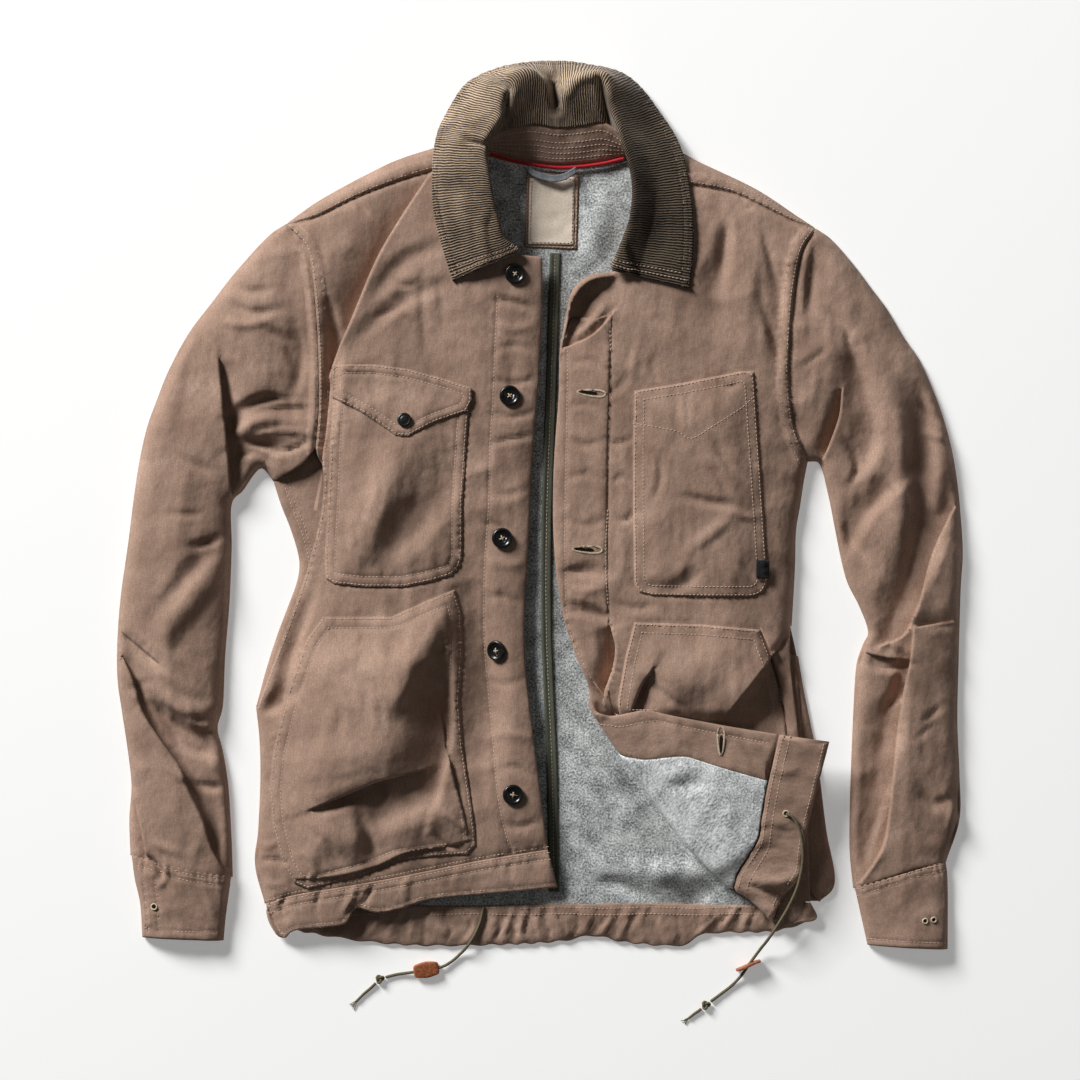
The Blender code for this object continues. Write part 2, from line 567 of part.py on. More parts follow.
def tube(name, xy, triangles, ends, height, thickness, colour):
    """A flattened tube of cloth on the table, open where its border lies on the lines in ends."""
    directed = {(f[i], f[(i + 1) % 3]) for f in triangles for i in range(3)}
    border = [(a, b) for a, b in sorted(directed) if (b, a) not in directed]

    def is_end(a, b):
        middle = (xy[a] + xy[b]) / 2
        return any(distance_to(middle[0], middle[1], line)[0] < 0.6 for line in ends)

    used = sorted({i for f in triangles for i in f})
    index = {i: k for k, i in enumerate(used)}
    n = len(used)
    shift_out = np.zeros((n, 2))
    shift_in = np.zeros((n, 2))
    for a, b in border:
        edge = xy[b] - xy[a]
        normal = np.array([-edge[1], edge[0]]) / np.linalg.norm(edge)
        for i in (index[a], index[b]):
            shift_out[i] += normal * GAP / 2
            shift_in[i] += normal * (GAP / 2 if is_end(a, b) else thickness)
    end_edges = [pair for pair in border if is_end(*pair)]
    for i in sorted({i for pair in end_edges for i in pair}):
        pairs = [pair for pair in end_edges if i in pair]
        if len(pairs) == 1:
            a, b = pairs[0]
            along = (xy[b] - xy[a]) / np.linalg.norm(xy[b] - xy[a])
            normal = np.array([-along[1], along[0]])
            shift_in[index[i]] = normal * GAP / 2 + along * (thickness if a == i else -thickness)
    base = np.array([xy[i] for i in used])
    o, i2 = base + shift_out, base + shift_in
    zo, zi = height(o[:, 0], o[:, 1]), height(i2[:, 0], i2[:, 1])
    points = np.vstack([
        np.column_stack([o, zo]),
        np.column_stack([i2, np.maximum(zi - thickness, thickness + 1.0)]),
        np.column_stack([o, np.zeros(n)]),
        np.column_stack([i2, np.full(n, thickness)]),
    ])
    tri = [tuple(index[i] for i in f) for f in triangles]
    faces = list(tri)
    faces += [tuple(n + i for i in reversed(f)) for f in tri]
    faces += [tuple(2 * n + i for i in reversed(f)) for f in tri]
    faces += [tuple(3 * n + i for i in f) for f in tri]
    corners = {}
    for a, b in border:
        ia, ib = index[a], index[b]
        if is_end(a, b):
            faces.append((ib, ia, n + ia, n + ib))
            faces.append((2 * n + ia, 2 * n + ib, 3 * n + ib, 3 * n + ia))
        else:
            faces.append((2 * n + ia, 2 * n + ib, ib, ia))
            faces.append((n + ia, n + ib, 3 * n + ib, 3 * n + ia))
        corners.setdefault(ia, []).append((is_end(a, b), "starts"))
        corners.setdefault(ib, []).append((is_end(a, b), "ends"))
    for i, kinds in corners.items():
        kinds = dict((way, end) for end, way in kinds)
        if kinds["starts"] != kinds["ends"]:
            quad = (i, n + i, 3 * n + i, 2 * n + i)
            faces.append(quad if kinds["ends"] else quad[::-1])
    mesh = bpy.data.meshes.new(name)
    mesh.from_pydata(points * MM, [], faces)
    return finish(name, mesh, colour)


# ---------------------------------------------------------------- the pieces

for old in list(bpy.data.objects):
    bpy.data.objects.remove(old)
jacket = collection("chore_jacket")
cutters = collection("cutters")


def back_pieces():
    """Back, its lining with the seam tape, and the labels at the neck."""
    panel = outline(
        run(BACK_NECK), run([(-66, 322), (-97, 328)]), run(RIGHT_SHOULDER_EDGE),
        run(RIGHT_ARMHOLE), run(RIGHT_UNDERARM), run(RIGHT_SIDE_EDGE), run(RIGHT_LOW_EDGE),
        run([(-252, -368), (258, -366)], 60),
        run(LEFT_SIDE_EDGE[::-1]), run(LEFT_BODY_EDGE[::-1]), run(LEFT_ARMHOLE[::-1]),
        run(LEFT_SHOULDER_EDGE[::-1]), run([(133, 323), (102, 318)]),
    )
    xy, (whole,) = cut(panel, grid=FLAT_GRID * 1.6)
    wall("back", xy, whole, on_table, -CANVAS, 0.0, CANVAS_COLOUR)
    xy, (whole, tape, backing, label) = cut(
        BACK_LINING, [SEAM_TAPE, LABEL_BACKING, LABEL], grid=30, dense=(-30, 190, -360, 300)
    )

    def lining_height(x, y):
        seen = smooth_step((x + 25) / 25) * smooth_step((190 - x) / 30)
        return CANVAS + GAP + FLEECE + np.maximum(0, folds_at(x, y, LINING_FOLDS)) * seen

    on_lining = lay(lining_height)
    wall("back_lining", xy, whole, on_lining, 0.0, FLEECE, FLEECE_COLOUR)
    wall("centre_back_tape", xy, tape, on_lining, -GAP - 1.2, -GAP, (0.09, 0.10, 0.06))
    wall("label_backing", xy, backing, on_lining, -GAP - 0.6, -GAP, (0.20, 0.13, 0.10))
    wall("neck_label", xy, label, on_lining, -2 * GAP - 1.2, -2 * GAP - 0.6, (0.75, 0.66, 0.50))


def back_hem_band():
    """The gathered hem casing of the back, seen from inside between and below the fronts."""
    per_wave = 3
    lower = run(BACK_HEM_EDGE, GATHER_LENGTH / per_wave)
    bm = bmesh.new()
    rows = []
    for share, lift in ((0.0, 0.0), (0.2, 0.9), (0.8, 1.0), (1.0, 0.2)):
        row = []
        for k, (x, y) in enumerate(lower):
            top = BACK_HEM_TOP + math.sin(x * 0.02)
            wave = math.sin(2 * math.pi * k / per_wave + 1.3 * math.sin(0.37 * k))
            z = 2.6 + lift * (1.2 + 1.1 * wave)
            row.append(bm.verts.new(Vector((x, top + share * (y - top), z)) * MM))
        rows.append(row)
    for a, b in zip(rows, rows[1:]):
        for k in range(len(a) - 1):
            bm.faces.new((b[k], b[k + 1], a[k + 1], a[k]))
    mesh = bpy.data.meshes.new("back_hem_band")
    bm.to_mesh(mesh)
    bm.free()
    band = finish("back_hem_band", mesh, CANVAS_COLOUR)
    thickness = band.modifiers.new("cloth", "SOLIDIFY")
    thickness.thickness = 2.3 * MM
    thickness.offset = -1


def right_front_pieces():
    """Right front with its pockets and flap, its hem band, yoke strip and side panel."""
    panel = outline(
        run(RIGHT_SHOULDER_SEAM), run(RIGHT_ARMHOLE), run(RIGHT_FRONT_SIDE), run(RIGHT_LOW_EDGE),
        run(RIGHT_HEM_SEAM),
        run(RIGHT_FRONT_EDGE), run([(3, 227), (-22, 229)]), run(RIGHT_NECK),
    )
    xy, (whole, chest, flap, hand) = cut(panel, [RIGHT_CHEST_POCKET, CHEST_FLAP, RIGHT_HAND_POCKET])
    place = lay(upper)
    wall("right_front", xy, whole, place, 0.0, CANVAS, CANVAS_COLOUR)

    def chest_bulge(x, y):
        return swell(x, y, RIGHT_CHEST_POCKET, CHEST_POCKET_SWELL)

    def hand_bulge(x, y):
        return swell(x, y, RIGHT_HAND_POCKET, RIGHT_HAND_SWELL)

    on_pocket = 2 * GAP + PATCH
    patch("right_chest_pocket", xy, chest, place, chest_bulge)
    patch("chest_flap", xy, flap, place, chest_bulge, on_pocket)
    patch("right_hand_pocket", xy, hand, place, hand_bulge)

    hem = outline(run(RIGHT_HEM_EDGE, 12), run([(17, -352), (8, -317)]), run(RIGHT_HEM_SEAM[::-1]))
    xy, (whole,) = cut(hem)
    wall("right_hem_band", xy, whole, place, -0.4, CANVAS + 0.4, CANVAS_COLOUR)
    neck_end = run([(-66, 315), (-70, 324), (-97, 328)])
    xy, (whole,) = cut(outline(run(RIGHT_SHOULDER_EDGE), run(RIGHT_SHOULDER_SEAM[::-1]), neck_end))
    wall("right_yoke", xy, whole, place, 0.0, CANVAS, CANVAS_COLOUR)
    inner = [(x + 9, y) for x, y in RIGHT_FRONT_SIDE[:7]]
    xy, (whole,) = cut(outline(run(RIGHT_UNDERARM), run(RIGHT_SIDE_EDGE[:9]), run(inner[::-1])))
    wall("right_side_panel", xy, whole, lay(side_layer), 0.0, PATCH, CANVAS_COLOUR)

    for number, (x, y) in enumerate(BUTTONS, 1):
        disc(f"button_{number}", x, y, upper, BUTTON_DIAMETER, BUTTON_THICKNESS)
    flap_top = 2 * on_pocket
    disc("chest_snap", *SNAP, lambda x, y: upper(x, y) + flap_top + chest_bulge(x, y), SNAP_DIAMETER, 2.2)


def patch(name, xy, triangles, place, bulge, lift=GAP):
    """A wall laid on a panel's points, standing out from it by the lift and by its own bulge."""
    wall(
        name, xy, triangles, place,
        lambda x, y: -lift - bulge(x, y) - PATCH, lambda x, y: -lift - bulge(x, y), CANVAS_COLOUR,
    )


def swell(x, y, edge, size):
    """How far a pocket stands out: nothing at its edge, most in the middle."""
    height, width = size
    d = distance_to(x, y, edge + edge[:1])[0]
    return height * smooth_step(d / width) * inside(x, y, edge)


def left_front_pieces():
    """Left front in one piece with its turned-back corner, and everything sewn to it."""
    panel = outline(
        run(LEFT_SHOULDER_SEAM[::-1]), run(LEFT_NECK), run(LEFT_NECK_EDGE), run(LEFT_FRONT_EDGE),
        run(LEFT_HEM_SEAM),
        run(LEFT_FRONT_SIDE[::-1]), run(LEFT_BODY_EDGE[::-1]), run(LEFT_ARMHOLE[::-1]),
    )
    rolls = []
    for k in range(FOLD_STEPS + 1):
        s = FOLD_ARC * k / FOLD_STEPS
        foot = np.array(FOLD_START) + s * FOLD_NORMAL
        rolls.append([tuple(foot - 60 * FOLD_DIRECTION), tuple(foot + 330 * FOLD_DIRECTION)])
    edge = run(LEFT_FRONT_EDGE)
    band = outline([p for p in edge if p[1] < 150], run(LEFT_PLACKET_INNER), [(30, 172)])
    turned = [p for p in edge if p[1] < -140]
    facing = outline(turned, run(FACING_INNER), [(62, -185)])
    hem = run(LEFT_HEM_SEAM)
    lining = outline([(72, -358)], [p for p in hem if 80 < p[0] < 205], [(66, -190)], run(FACING_INNER[::-1]))
    xy, (whole, chest, hand, band, facing, lining) = cut(
        panel, [LEFT_CHEST_POCKET, LEFT_HAND_POCKET, band, facing, lining], rolls
    )
    wall("left_front", xy, whole, lay_left_front, 0.0, CANVAS, CANVAS_COLOUR)

    def chest_bulge(x, y):
        return swell(x, y, LEFT_CHEST_POCKET, CHEST_POCKET_SWELL)

    def hand_bulge(x, y):
        return swell(x, y, LEFT_HAND_POCKET, LEFT_HAND_SWELL) * smooth_step((y + 195) / 40)

    patch("left_chest_pocket", xy, chest, lay_left_front, chest_bulge)
    patch("left_hand_pocket", xy, hand, lay_left_front, hand_bulge)
    wall("left_buttonhole_band", xy, band, lay_left_front, -GAP - 1.2, -GAP, CANVAS_COLOUR)
    wall("left_front_facing", xy, facing, lay_left_front, CANVAS + GAP, CANVAS + GAP + PATCH, CANVAS_COLOUR)
    wall("left_front_lining", xy, lining, lay_left_front, CANVAS + GAP, CANVAS + GAP + FLEECE, FLEECE_COLOUR)

    hem = outline(run(LEFT_HEM_EDGE), [(x, y - 1.0) for x, y in run(LEFT_HEM_SEAM[::-1])])
    xy, (whole,) = cut(hem, [], rolls)
    wall("left_hem_band", xy, whole, lay_left_front, -0.4, CANVAS + 2.0, CANVAS_COLOUR)
    neck_end = run([(133, 323), (112, 316), (102, 301)])
    xy, (whole,) = cut(outline(run(LEFT_SHOULDER_SEAM), run(LEFT_SHOULDER_EDGE[::-1]), neck_end))
    wall("left_yoke", xy, whole, lay(upper), 0.0, CANVAS, CANVAS_COLOUR)
    inner = [(x - 9, y) for x, y in LEFT_FRONT_SIDE[1:7]]
    xy, (whole,) = cut(outline(run(LEFT_SIDE_EDGE[1:]), run(inner[::-1])))
    wall("left_side_panel", xy, whole, lay(side_layer), 0.0, PATCH, CANVAS_COLOUR)
    xy, (whole,) = cut(FLAG_LABEL)
    wall("flag_label", xy, whole, lay(lambda x, y: upper(x, y) + 4.5), 0.0, 0.8, (0.01, 0.01, 0.01))


def sleeves():
    """Top sleeves over under sleeves, with tube-shaped cuffs."""
    right_armhole = outline(run(RIGHT_UNDERARM[::-1]), run(RIGHT_ARMHOLE[::-1]))
    for side, armhole, outer, cuff_seam, inner in (
        ("right", right_armhole, RIGHT_SLEEVE_OUTER, RIGHT_CUFF_SEAM, RIGHT_SLEEVE_INNER),
        ("left", run(LEFT_ARMHOLE[::-1]), LEFT_SLEEVE_OUTER, LEFT_CUFF_SEAM, LEFT_SLEEVE_INNER),
    ):
        panel = outline(run(outer), run(cuff_seam), run(inner), armhole)
        xy, (whole,) = cut(panel, grid=SLEEVE_GRID)
        wall(f"{side}_top_sleeve", xy, whole, lay(upper), 0.0, CANVAS, CANVAS_COLOUR)
        xy, (whole,) = cut(panel, grid=FLAT_GRID * 2)
        wall(f"{side}_under_sleeve", xy, whole, on_table, -CANVAS, 0.0, CANVAS_COLOUR)
    for side, seam, outer, end, inner in (
        ("right", RIGHT_CUFF_SEAM, RIGHT_CUFF_OUTER, RIGHT_CUFF_END, RIGHT_CUFF_INNER),
        ("left", LEFT_CUFF_SEAM, LEFT_CUFF_OUTER, LEFT_CUFF_END, LEFT_CUFF_INNER),
    ):
        xy, (whole,) = cut(outline(run(outer), run(end), run(inner), run(seam[::-1])))
        tube(f"{side}_cuff", xy, whole, [run(seam), run(end)], upper, CANVAS, CANVAS_COLOUR)


def collar_pieces():
    """Stand and corduroy collar, lofted through the stations round the neck."""
    lines = [run([s[k] for s in COLLAR_STATIONS], 1.0) for k in range(4)]
    shares = np.linspace(0, 1, COLLAR_COLUMNS)
    seam, top, roll, edge = (
        np.column_stack([np.interp(shares, np.linspace(0, 1, len(line)), line[:, axis]) for axis in range(3)])
        for line in lines
    )

    def loft(name, section_lines, rows, colour, thickness, lies_from):
        """A sheet through the section lines. Past the share lies_from of its width it lies on the fronts."""
        bm = bmesh.new()
        grid = []
        for k in range(COLLAR_COLUMNS):
            section = run([line[k] for line in section_lines], 0.5)
            at = np.linspace(0, len(section) - 1, rows + 1)
            column = np.array([section[round(i)] for i in at])
            over = upper(column[:, 0], column[:, 1]) + thickness / 2 + 1.0
            on_front = (np.arange(rows + 1) > rows * lies_from) & (column[:, 1] < 318)
            column[:, 2] = np.where(on_front, np.maximum(column[:, 2], over), column[:, 2])
            grid.append(column)
        verts = [[bm.verts.new(Vector(p) * MM) for p in column] for column in grid]
        for a, b in zip(verts, verts[1:]):
            for k in range(rows):
                bm.faces.new((a[k], a[k + 1], b[k + 1], b[k]))
        bmesh.ops.recalc_face_normals(bm, faces=bm.faces)
        mesh = bpy.data.meshes.new(name)
        bm.to_mesh(mesh)
        bm.free()
        o = finish(name, mesh, colour)
        cloth = o.modifiers.new("cloth", "SOLIDIFY")
        cloth.thickness = thickness * MM
        cloth.offset = 0
        return o

    crown = roll * 0.45 + edge * 0.55 + np.array([0, 0, 5.0])
    start = top + (roll - top) / np.linalg.norm(roll - top, axis=1)[:, None] * 1.3
    loft("collar_stand", [seam, seam * 0.5 + top * 0.5, top], STAND_ROWS, CANVAS_COLOUR, CANVAS, 1.0)
    loft("collar", [start, roll, crown, edge], COLLAR_ROWS, CORDUROY_COLOUR, CORDUROY, 0.4)


def disc(name, x, y, height, diameter, thickness):
    """A turned disc with a raised rim, lying on the cloth and tilted with it."""
    r = diameter / 2
    turns = np.linspace(0, 2 * math.pi, 12, endpoint=False)
    away = np.column_stack([np.append(r * np.cos(turns), 0), np.append(r * np.sin(turns), 0), np.ones(13)])
    z = height(x + away[:, 0], y + away[:, 1])
    slope = np.linalg.lstsq(away, z, rcond=None)[0]
    rest = (z - away @ slope).max()
    normal = Vector((-slope[0], -slope[1], 1)).normalized()
    centre = Vector((x, y, slope[2] + rest)) + normal * (GAP + 0.7)
    profile = [
        (0, thickness - 1.2), (r * 0.72, thickness - 1.2), (r * 0.86, thickness), (r, thickness * 0.6),
        (r * 0.9, 0), (0, 0),
    ]
    bm = bmesh.new()
    verts = [bm.verts.new((px * MM, 0, pz * MM)) for px, pz in profile]
    edges = [bm.edges.new(pair) for pair in zip(verts, verts[1:])]
    turn = 2 * math.pi
    bmesh.ops.spin(bm, geom=verts + edges, cent=(0, 0, 0), axis=(0, 0, 1), angle=turn, steps=DISC_SIDES)
    bmesh.ops.remove_doubles(bm, verts=bm.verts, dist=0.01 * MM)
    bmesh.ops.recalc_face_normals(bm, faces=bm.faces)
    tilt = Vector((0, 0, 1)).rotation_difference(normal).to_matrix().to_4x4()
    bmesh.ops.transform(bm, matrix=Matrix.Translation(centre * MM) @ tilt, verts=bm.verts)
    mesh = bpy.data.meshes.new(name)
    bm.to_mesh(mesh)
    bm.free()
    return finish(name, mesh, (0.008, 0.009, 0.009), 0.35)


def cord(name, route, diameter, colour, step=CORD_STEP):
    """A cord as a tube along a smooth curve."""
    points = run(route, step)
    curve = bpy.data.curves.new(name, "CURVE")
    curve.dimensions = "3D"
    spline = curve.splines.new("POLY")
    spline.points.add(len(points) - 1)
    for p, (x, y, z) in zip(spline.points, points):
        p.co = (x * MM, y * MM, z * MM, 1)
    curve.bevel_depth = diameter / 2 * MM
    curve.bevel_resolution = 2
    curve.use_fill_caps = True
    return finish(name, curve, colour)


def bead(name, centre, size, colour, angle=0.0, bore_along=None):
    """A rounded block on a drawcord, bored through for the cord where bore_along gives its direction."""
    bm = bmesh.new()
    bmesh.ops.create_cube(bm, size=1)
    bmesh.ops.scale(bm, vec=Vector(size) * MM, verts=bm.verts)
    bmesh.ops.bevel(bm, geom=bm.edges, offset=min(size) * 0.25 * MM, segments=1, affect="EDGES")
    turn = Matrix.Translation(Vector(centre) * MM) @ Matrix.Rotation(math.radians(angle), 4, "Z")
    bmesh.ops.transform(bm, matrix=turn, verts=bm.verts)
    mesh = bpy.data.meshes.new(name)
    bm.to_mesh(mesh)
    bm.free()
    o = finish(name, mesh, colour, 0.6)
    if bore_along is not None:
        direction = Vector(bore_along).normalized()
        bm = bmesh.new()
        radius = CORD_BORE / 2 * MM
        bmesh.ops.create_cone(bm, cap_ends=True, segments=12, radius1=radius, radius2=radius, depth=50 * MM)
        turn = Vector((0, 0, 1)).rotation_difference(direction).to_matrix().to_4x4()
        bmesh.ops.transform(bm, matrix=Matrix.Translation(Vector(centre) * MM) @ turn, verts=bm.verts)
        mesh = bpy.data.meshes.new(name + "_bore")
        bm.to_mesh(mesh)
        bm.free()
        cutter = bpy.data.objects.new(name + "_bore", mesh)
        cutter.hide_render = True
        cutter.display_type = "WIRE"
        cutters.objects.link(cutter)
        hole = o.modifiers.new("bore", "BOOLEAN")
        hole.operation = "DIFFERENCE"
        hole.object = cutter
    return o


def shortened(route, start, end):
    """The route without the given lengths at its two ends."""
    fine = run(route, 0.5)
    return [tuple(p) for p in fine[round(start / 0.5): len(fine) - round(end / 0.5)][::8]]


def trims():
    """Neck piping, hanger loop, and the two drawcords with what is on them."""
    seam = run([s[0] for s in COLLAR_STATIONS[4:13]], 9.0)
    piping = [(x * 0.97 + 0.5, y - 5.5, 7.5) for x, y, z in seam[2:-2]]
    cord("neck_piping", piping, 2.4, (0.45, 0.01, 0.025))
    shares = np.linspace(0, math.pi, len(HANGER_LOOP))
    ribbon([(x, y, 9.5 + 1.5 * math.sin(a)) for (x, y), a in zip(HANGER_LOOP, shares)])
    leather = (0.30, 0.11, 0.04)
    string = (0.085, 0.073, 0.045)
    reach = KNOT_SIZE[0] * 0.7
    cord("right_drawcord", shortened(RIGHT_CORD, 0, reach), CORD_DIAMETER, string)
    cord("right_drawcord_tail", shortened(RIGHT_TAIL, reach, 0), CORD_DIAMETER, string)
    cord("left_drawcord", shortened(LEFT_CORD, 0, reach), CORD_DIAMETER, string)
    cord("left_drawcord_tail", shortened(LEFT_TAIL, reach, 0), CORD_DIAMETER, string)
    bead("right_toggle", colour=leather, bore_along=(-15, -2.7, 0), **RIGHT_TOGGLE)
    bead("left_toggle", colour=leather, bore_along=(-8.5, -11.5, 0), **LEFT_TOGGLE)
    bead("right_knot", RIGHT_TAIL[0], KNOT_SIZE, string, 40.0)
    bead("left_knot", LEFT_TAIL[0], KNOT_SIZE, string, 40.0)


def ribbon(path, width=9.0, thickness=1.0):
    """The hanger loop: a tape on edge-to-edge line, sagging between its two ends."""
    points = run(path, 6.0)
    bm = bmesh.new()
    rows = []
    for x, y, z in points:
        rows.append([bm.verts.new(Vector((x, y + width * s, z)) * MM) for s in (-0.35, 0.35)])
    for (a, b), (c, d) in zip(rows, rows[1:]):
        bm.faces.new((a, c, d, b))
    mesh = bpy.data.meshes.new("hanger_loop")
    bm.to_mesh(mesh)
    bm.free()
    o = finish("hanger_loop", mesh, (0.25, 0.25, 0.26))
    tape = o.modifiers.new("tape", "SOLIDIFY")
    tape.thickness = thickness * MM
    tape.offset = 1


back_pieces()
back_hem_band()
right_front_pieces()
left_front_pieces()
sleeves()
collar_pieces()
trims()
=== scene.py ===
# %% [markdown]
# # A chore jacket, laid flat
#
# The real thing is a hip-length work jacket: washed cotton duck outside, a speckled wool-blend fleece
# inside, a corduroy collar, patch pockets, five buttons and a drawcord in the hem. It lies on its back
# with the fronts open, and one lower corner is turned back over itself.
#
# Cloth can be drawn by hand, simulated, or worked out. A simulation drapes a loose sheet well, but it
# would have to find every pressed seam and pocket by itself. Here each panel is cut flat from its seam
# lines, as a maker cuts it, and a function gives its height at every point: a soft dome, the large
# folds, small creases, puckers beside the seams, and grooves under the stitches. All panels ask the
# same functions, so neighbours meet at their seams.

# %% Start: the fixed frame
import math

import bmesh
import bpy
import numpy as np
from mathutils import Matrix, Vector, geometry


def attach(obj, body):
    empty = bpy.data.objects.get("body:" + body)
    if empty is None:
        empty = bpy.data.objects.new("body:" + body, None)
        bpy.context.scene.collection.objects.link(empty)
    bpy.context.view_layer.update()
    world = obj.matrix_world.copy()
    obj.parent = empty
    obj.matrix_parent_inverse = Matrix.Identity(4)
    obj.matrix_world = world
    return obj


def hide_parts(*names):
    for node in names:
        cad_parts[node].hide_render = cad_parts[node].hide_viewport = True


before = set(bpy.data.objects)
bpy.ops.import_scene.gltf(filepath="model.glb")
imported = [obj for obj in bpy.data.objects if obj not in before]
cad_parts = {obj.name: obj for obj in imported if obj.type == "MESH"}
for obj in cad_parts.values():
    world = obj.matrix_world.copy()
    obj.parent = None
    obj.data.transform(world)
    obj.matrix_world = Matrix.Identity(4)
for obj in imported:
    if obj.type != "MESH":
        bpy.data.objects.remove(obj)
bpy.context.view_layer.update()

MM = 0.001  # the tables below are in millimetres

# %% [markdown]
# ## Camera, light and floor
#
# A garment laid on a table is looked at from straight above. A long lens keeps the edges of the jacket
# as flat as in a catalogue. The main light is a large softbox from the upper left, low enough to rake
# across the folds, with a weak one opposite and a pale sky to fill the hollows.

# %% Camera, softboxes, floor
SIGHT_WIDTH = 0.9936  # metres across the frame at the height of the cloth
LENS, SENSOR = 100.0, 36.0

camera_data = bpy.data.cameras.new("camera")
camera_data.lens = LENS
camera_data.sensor_width = SENSOR
camera = bpy.data.objects.new("camera", camera_data)
camera.location = (0.0009, -0.0327, SIGHT_WIDTH * LENS / SENSOR + 0.012)
bpy.context.scene.collection.objects.link(camera)
bpy.context.scene.camera = camera


def softbox(name, place, power, size):
    """A square area light that faces the middle of the jacket."""
    data = bpy.data.lights.new(name, "AREA")
    data.energy = power
    data.size = size
    lamp = bpy.data.objects.new(name, data)
    lamp.location = place
    lamp.rotation_euler = Vector(place).to_track_quat("Z", "Y").to_euler()
    bpy.context.scene.collection.objects.link(lamp)


softbox("key_softbox", (-5.4, 5.9, 3.7), 1270, 2.7)
softbox("fill_softbox", (1.6, -0.5, 1.9), 2.5, 1.6)

world = bpy.data.worlds.new("studio")
world.use_nodes = True
world.node_tree.nodes["Background"].inputs["Color"].default_value = (1.0, 1.0, 1.0, 1)
world.node_tree.nodes["Background"].inputs["Strength"].default_value = 0.048
bpy.context.scene.world = world
bpy.context.scene.view_settings.view_transform = "Standard"
print("camera height", round(camera.location.z, 3), "m")

# %% [markdown]
# ## Colours and a node helper
#
# Colours are picked as sRGB hex values and turned to linear once. One small function adds a shader node
# with its settings and links, so each material below reads as a short list.

# %% Helpers for materials


def tint(code):
    """An sRGB hex value such as "#94766a" as linear RGBA."""
    channels = [int(code[i : i + 2], 16) / 255 for i in (1, 3, 5)]
    return (*[c / 12.92 if c <= 0.04045 else ((c + 0.055) / 1.055) ** 2.4 for c in channels], 1.0)


def node(tree, kind, settings=None, inputs=None):
    """Adds a node. An input is a value, or another node's output socket."""
    made = tree.nodes.new(kind)
    for name, value in (settings or {}).items():
        setattr(made, name, value)
    for name, value in (inputs or {}).items():
        if isinstance(value, bpy.types.NodeSocket):
            tree.links.new(value, made.inputs[name])
        else:
            made.inputs[name].default_value = value
    return made


def ramp(tree, factor, stops):
    """A colour ramp from (position, hex) stops."""
    made = node(tree, "ShaderNodeValToRGB", {}, {"Fac": factor})
    elements = made.color_ramp.elements
    while len(elements) < len(stops):
        elements.new(0.5)
    for element, (position, code) in zip(elements, stops):
        element.position = position
        element.color = tint(code)
    return made.outputs["Color"]


def material(name, **values):
    """An empty Principled material, with constants on its own sockets."""
    made = bpy.data.materials.new(name)
    made.use_nodes = True
    shader = made.node_tree.nodes["Principled BSDF"]
    for key, value in values.items():
        shader.inputs[key.replace("_", " ")].default_value = value
    return made, made.node_tree, shader


def noise(tree, where, scale, detail, roughness=0.5):
    values = {"Vector": where, "Scale": scale, "Detail": detail, "Roughness": roughness}
    return node(tree, "ShaderNodeTexNoise", {}, values).outputs["Fac"]


def mixed(tree, share, a, b):
    values = {"Factor": share, "A": a, "B": b}
    return node(tree, "ShaderNodeMix", {"data_type": "FLOAT"}, values).outputs["Result"]


def bumped(tree, strength, distance, height, **under):
    """A bump. It may lie on a broader one, given as Normal."""
    values = {"Strength": strength, "Distance": distance, "Height": height, **under}
    return node(tree, "ShaderNodeBump", {}, values).outputs["Normal"]


def coat(tree, shader, colour, normal):
    """Gives a shader its colour and its relief."""
    tree.links.new(colour, shader.inputs["Base Color"])
    tree.links.new(normal, shader.inputs["Normal"])


def pattern_map(tree):
    """Where a point lies on its flat cut, in metres."""
    return node(tree, "ShaderNodeUVMap", {"uv_map": "pattern"}).outputs["UV"]


floor_finish, tree, shader = material("matt_studio_card", Base_Color=tint("#f4f4f2"), Roughness=0.9)
shader.inputs["Emission Color"].default_value = (1.0, 1.0, 1.0, 1)
shader.inputs["Emission Strength"].default_value = 0.25  # lit a little from below, like a light table
bpy.ops.mesh.primitive_plane_add(size=8)
floor = bpy.context.object
floor.name = "floor"
floor.data.materials.append(floor_finish)
print("floor laid")

# %% [markdown]
# ## Lines
#
# A pattern maker's tools: a smooth line through a few points, an outline made of such lines, the
# distance from any point to a line, and a line moved sideways by a seam's width.

# %% Helpers for lines


def run(points, step=3.0):
    """A smooth line through the points, with a point about every step."""
    p = np.array(points, float)
    padded = np.vstack([2 * p[0] - p[1], p, 2 * p[-1] - p[-2]])
    fine = []
    for a, b, c, d in zip(padded, padded[1:], padded[2:], padded[3:]):
        t = np.linspace(0, 1, 16, endpoint=False)[:, None]
        cubed = (3 * b - a - 3 * c + d) * t**3
        fine.append(0.5 * (2 * b + (c - a) * t + (2 * a - 5 * b + 4 * c - d) * t**2 + cubed))
    fine = np.vstack(fine + [p[-1:]])
    length = np.concatenate([[0], np.cumsum(np.linalg.norm(np.diff(fine, axis=0), axis=1))])
    at = np.linspace(0, length[-1], max(1, round(length[-1] / step)) + 1)
    return np.column_stack([np.interp(at, length, fine[:, k]) for k in range(fine.shape[1])])


def outline(*runs):
    """One closed outline, counterclockwise, from runs that follow each other end to end."""
    points = []
    for r in runs:
        for p in r:
            if not points or math.dist(p, points[-1]) > 0.5:
                points.append(tuple(p))
    if math.dist(points[0], points[-1]) < 0.5:
        points.pop()
    twice = sum(a[0] * b[1] - b[0] * a[1] for a, b in zip(points, points[1:] + points[:1]))
    return points if twice > 0 else points[::-1]


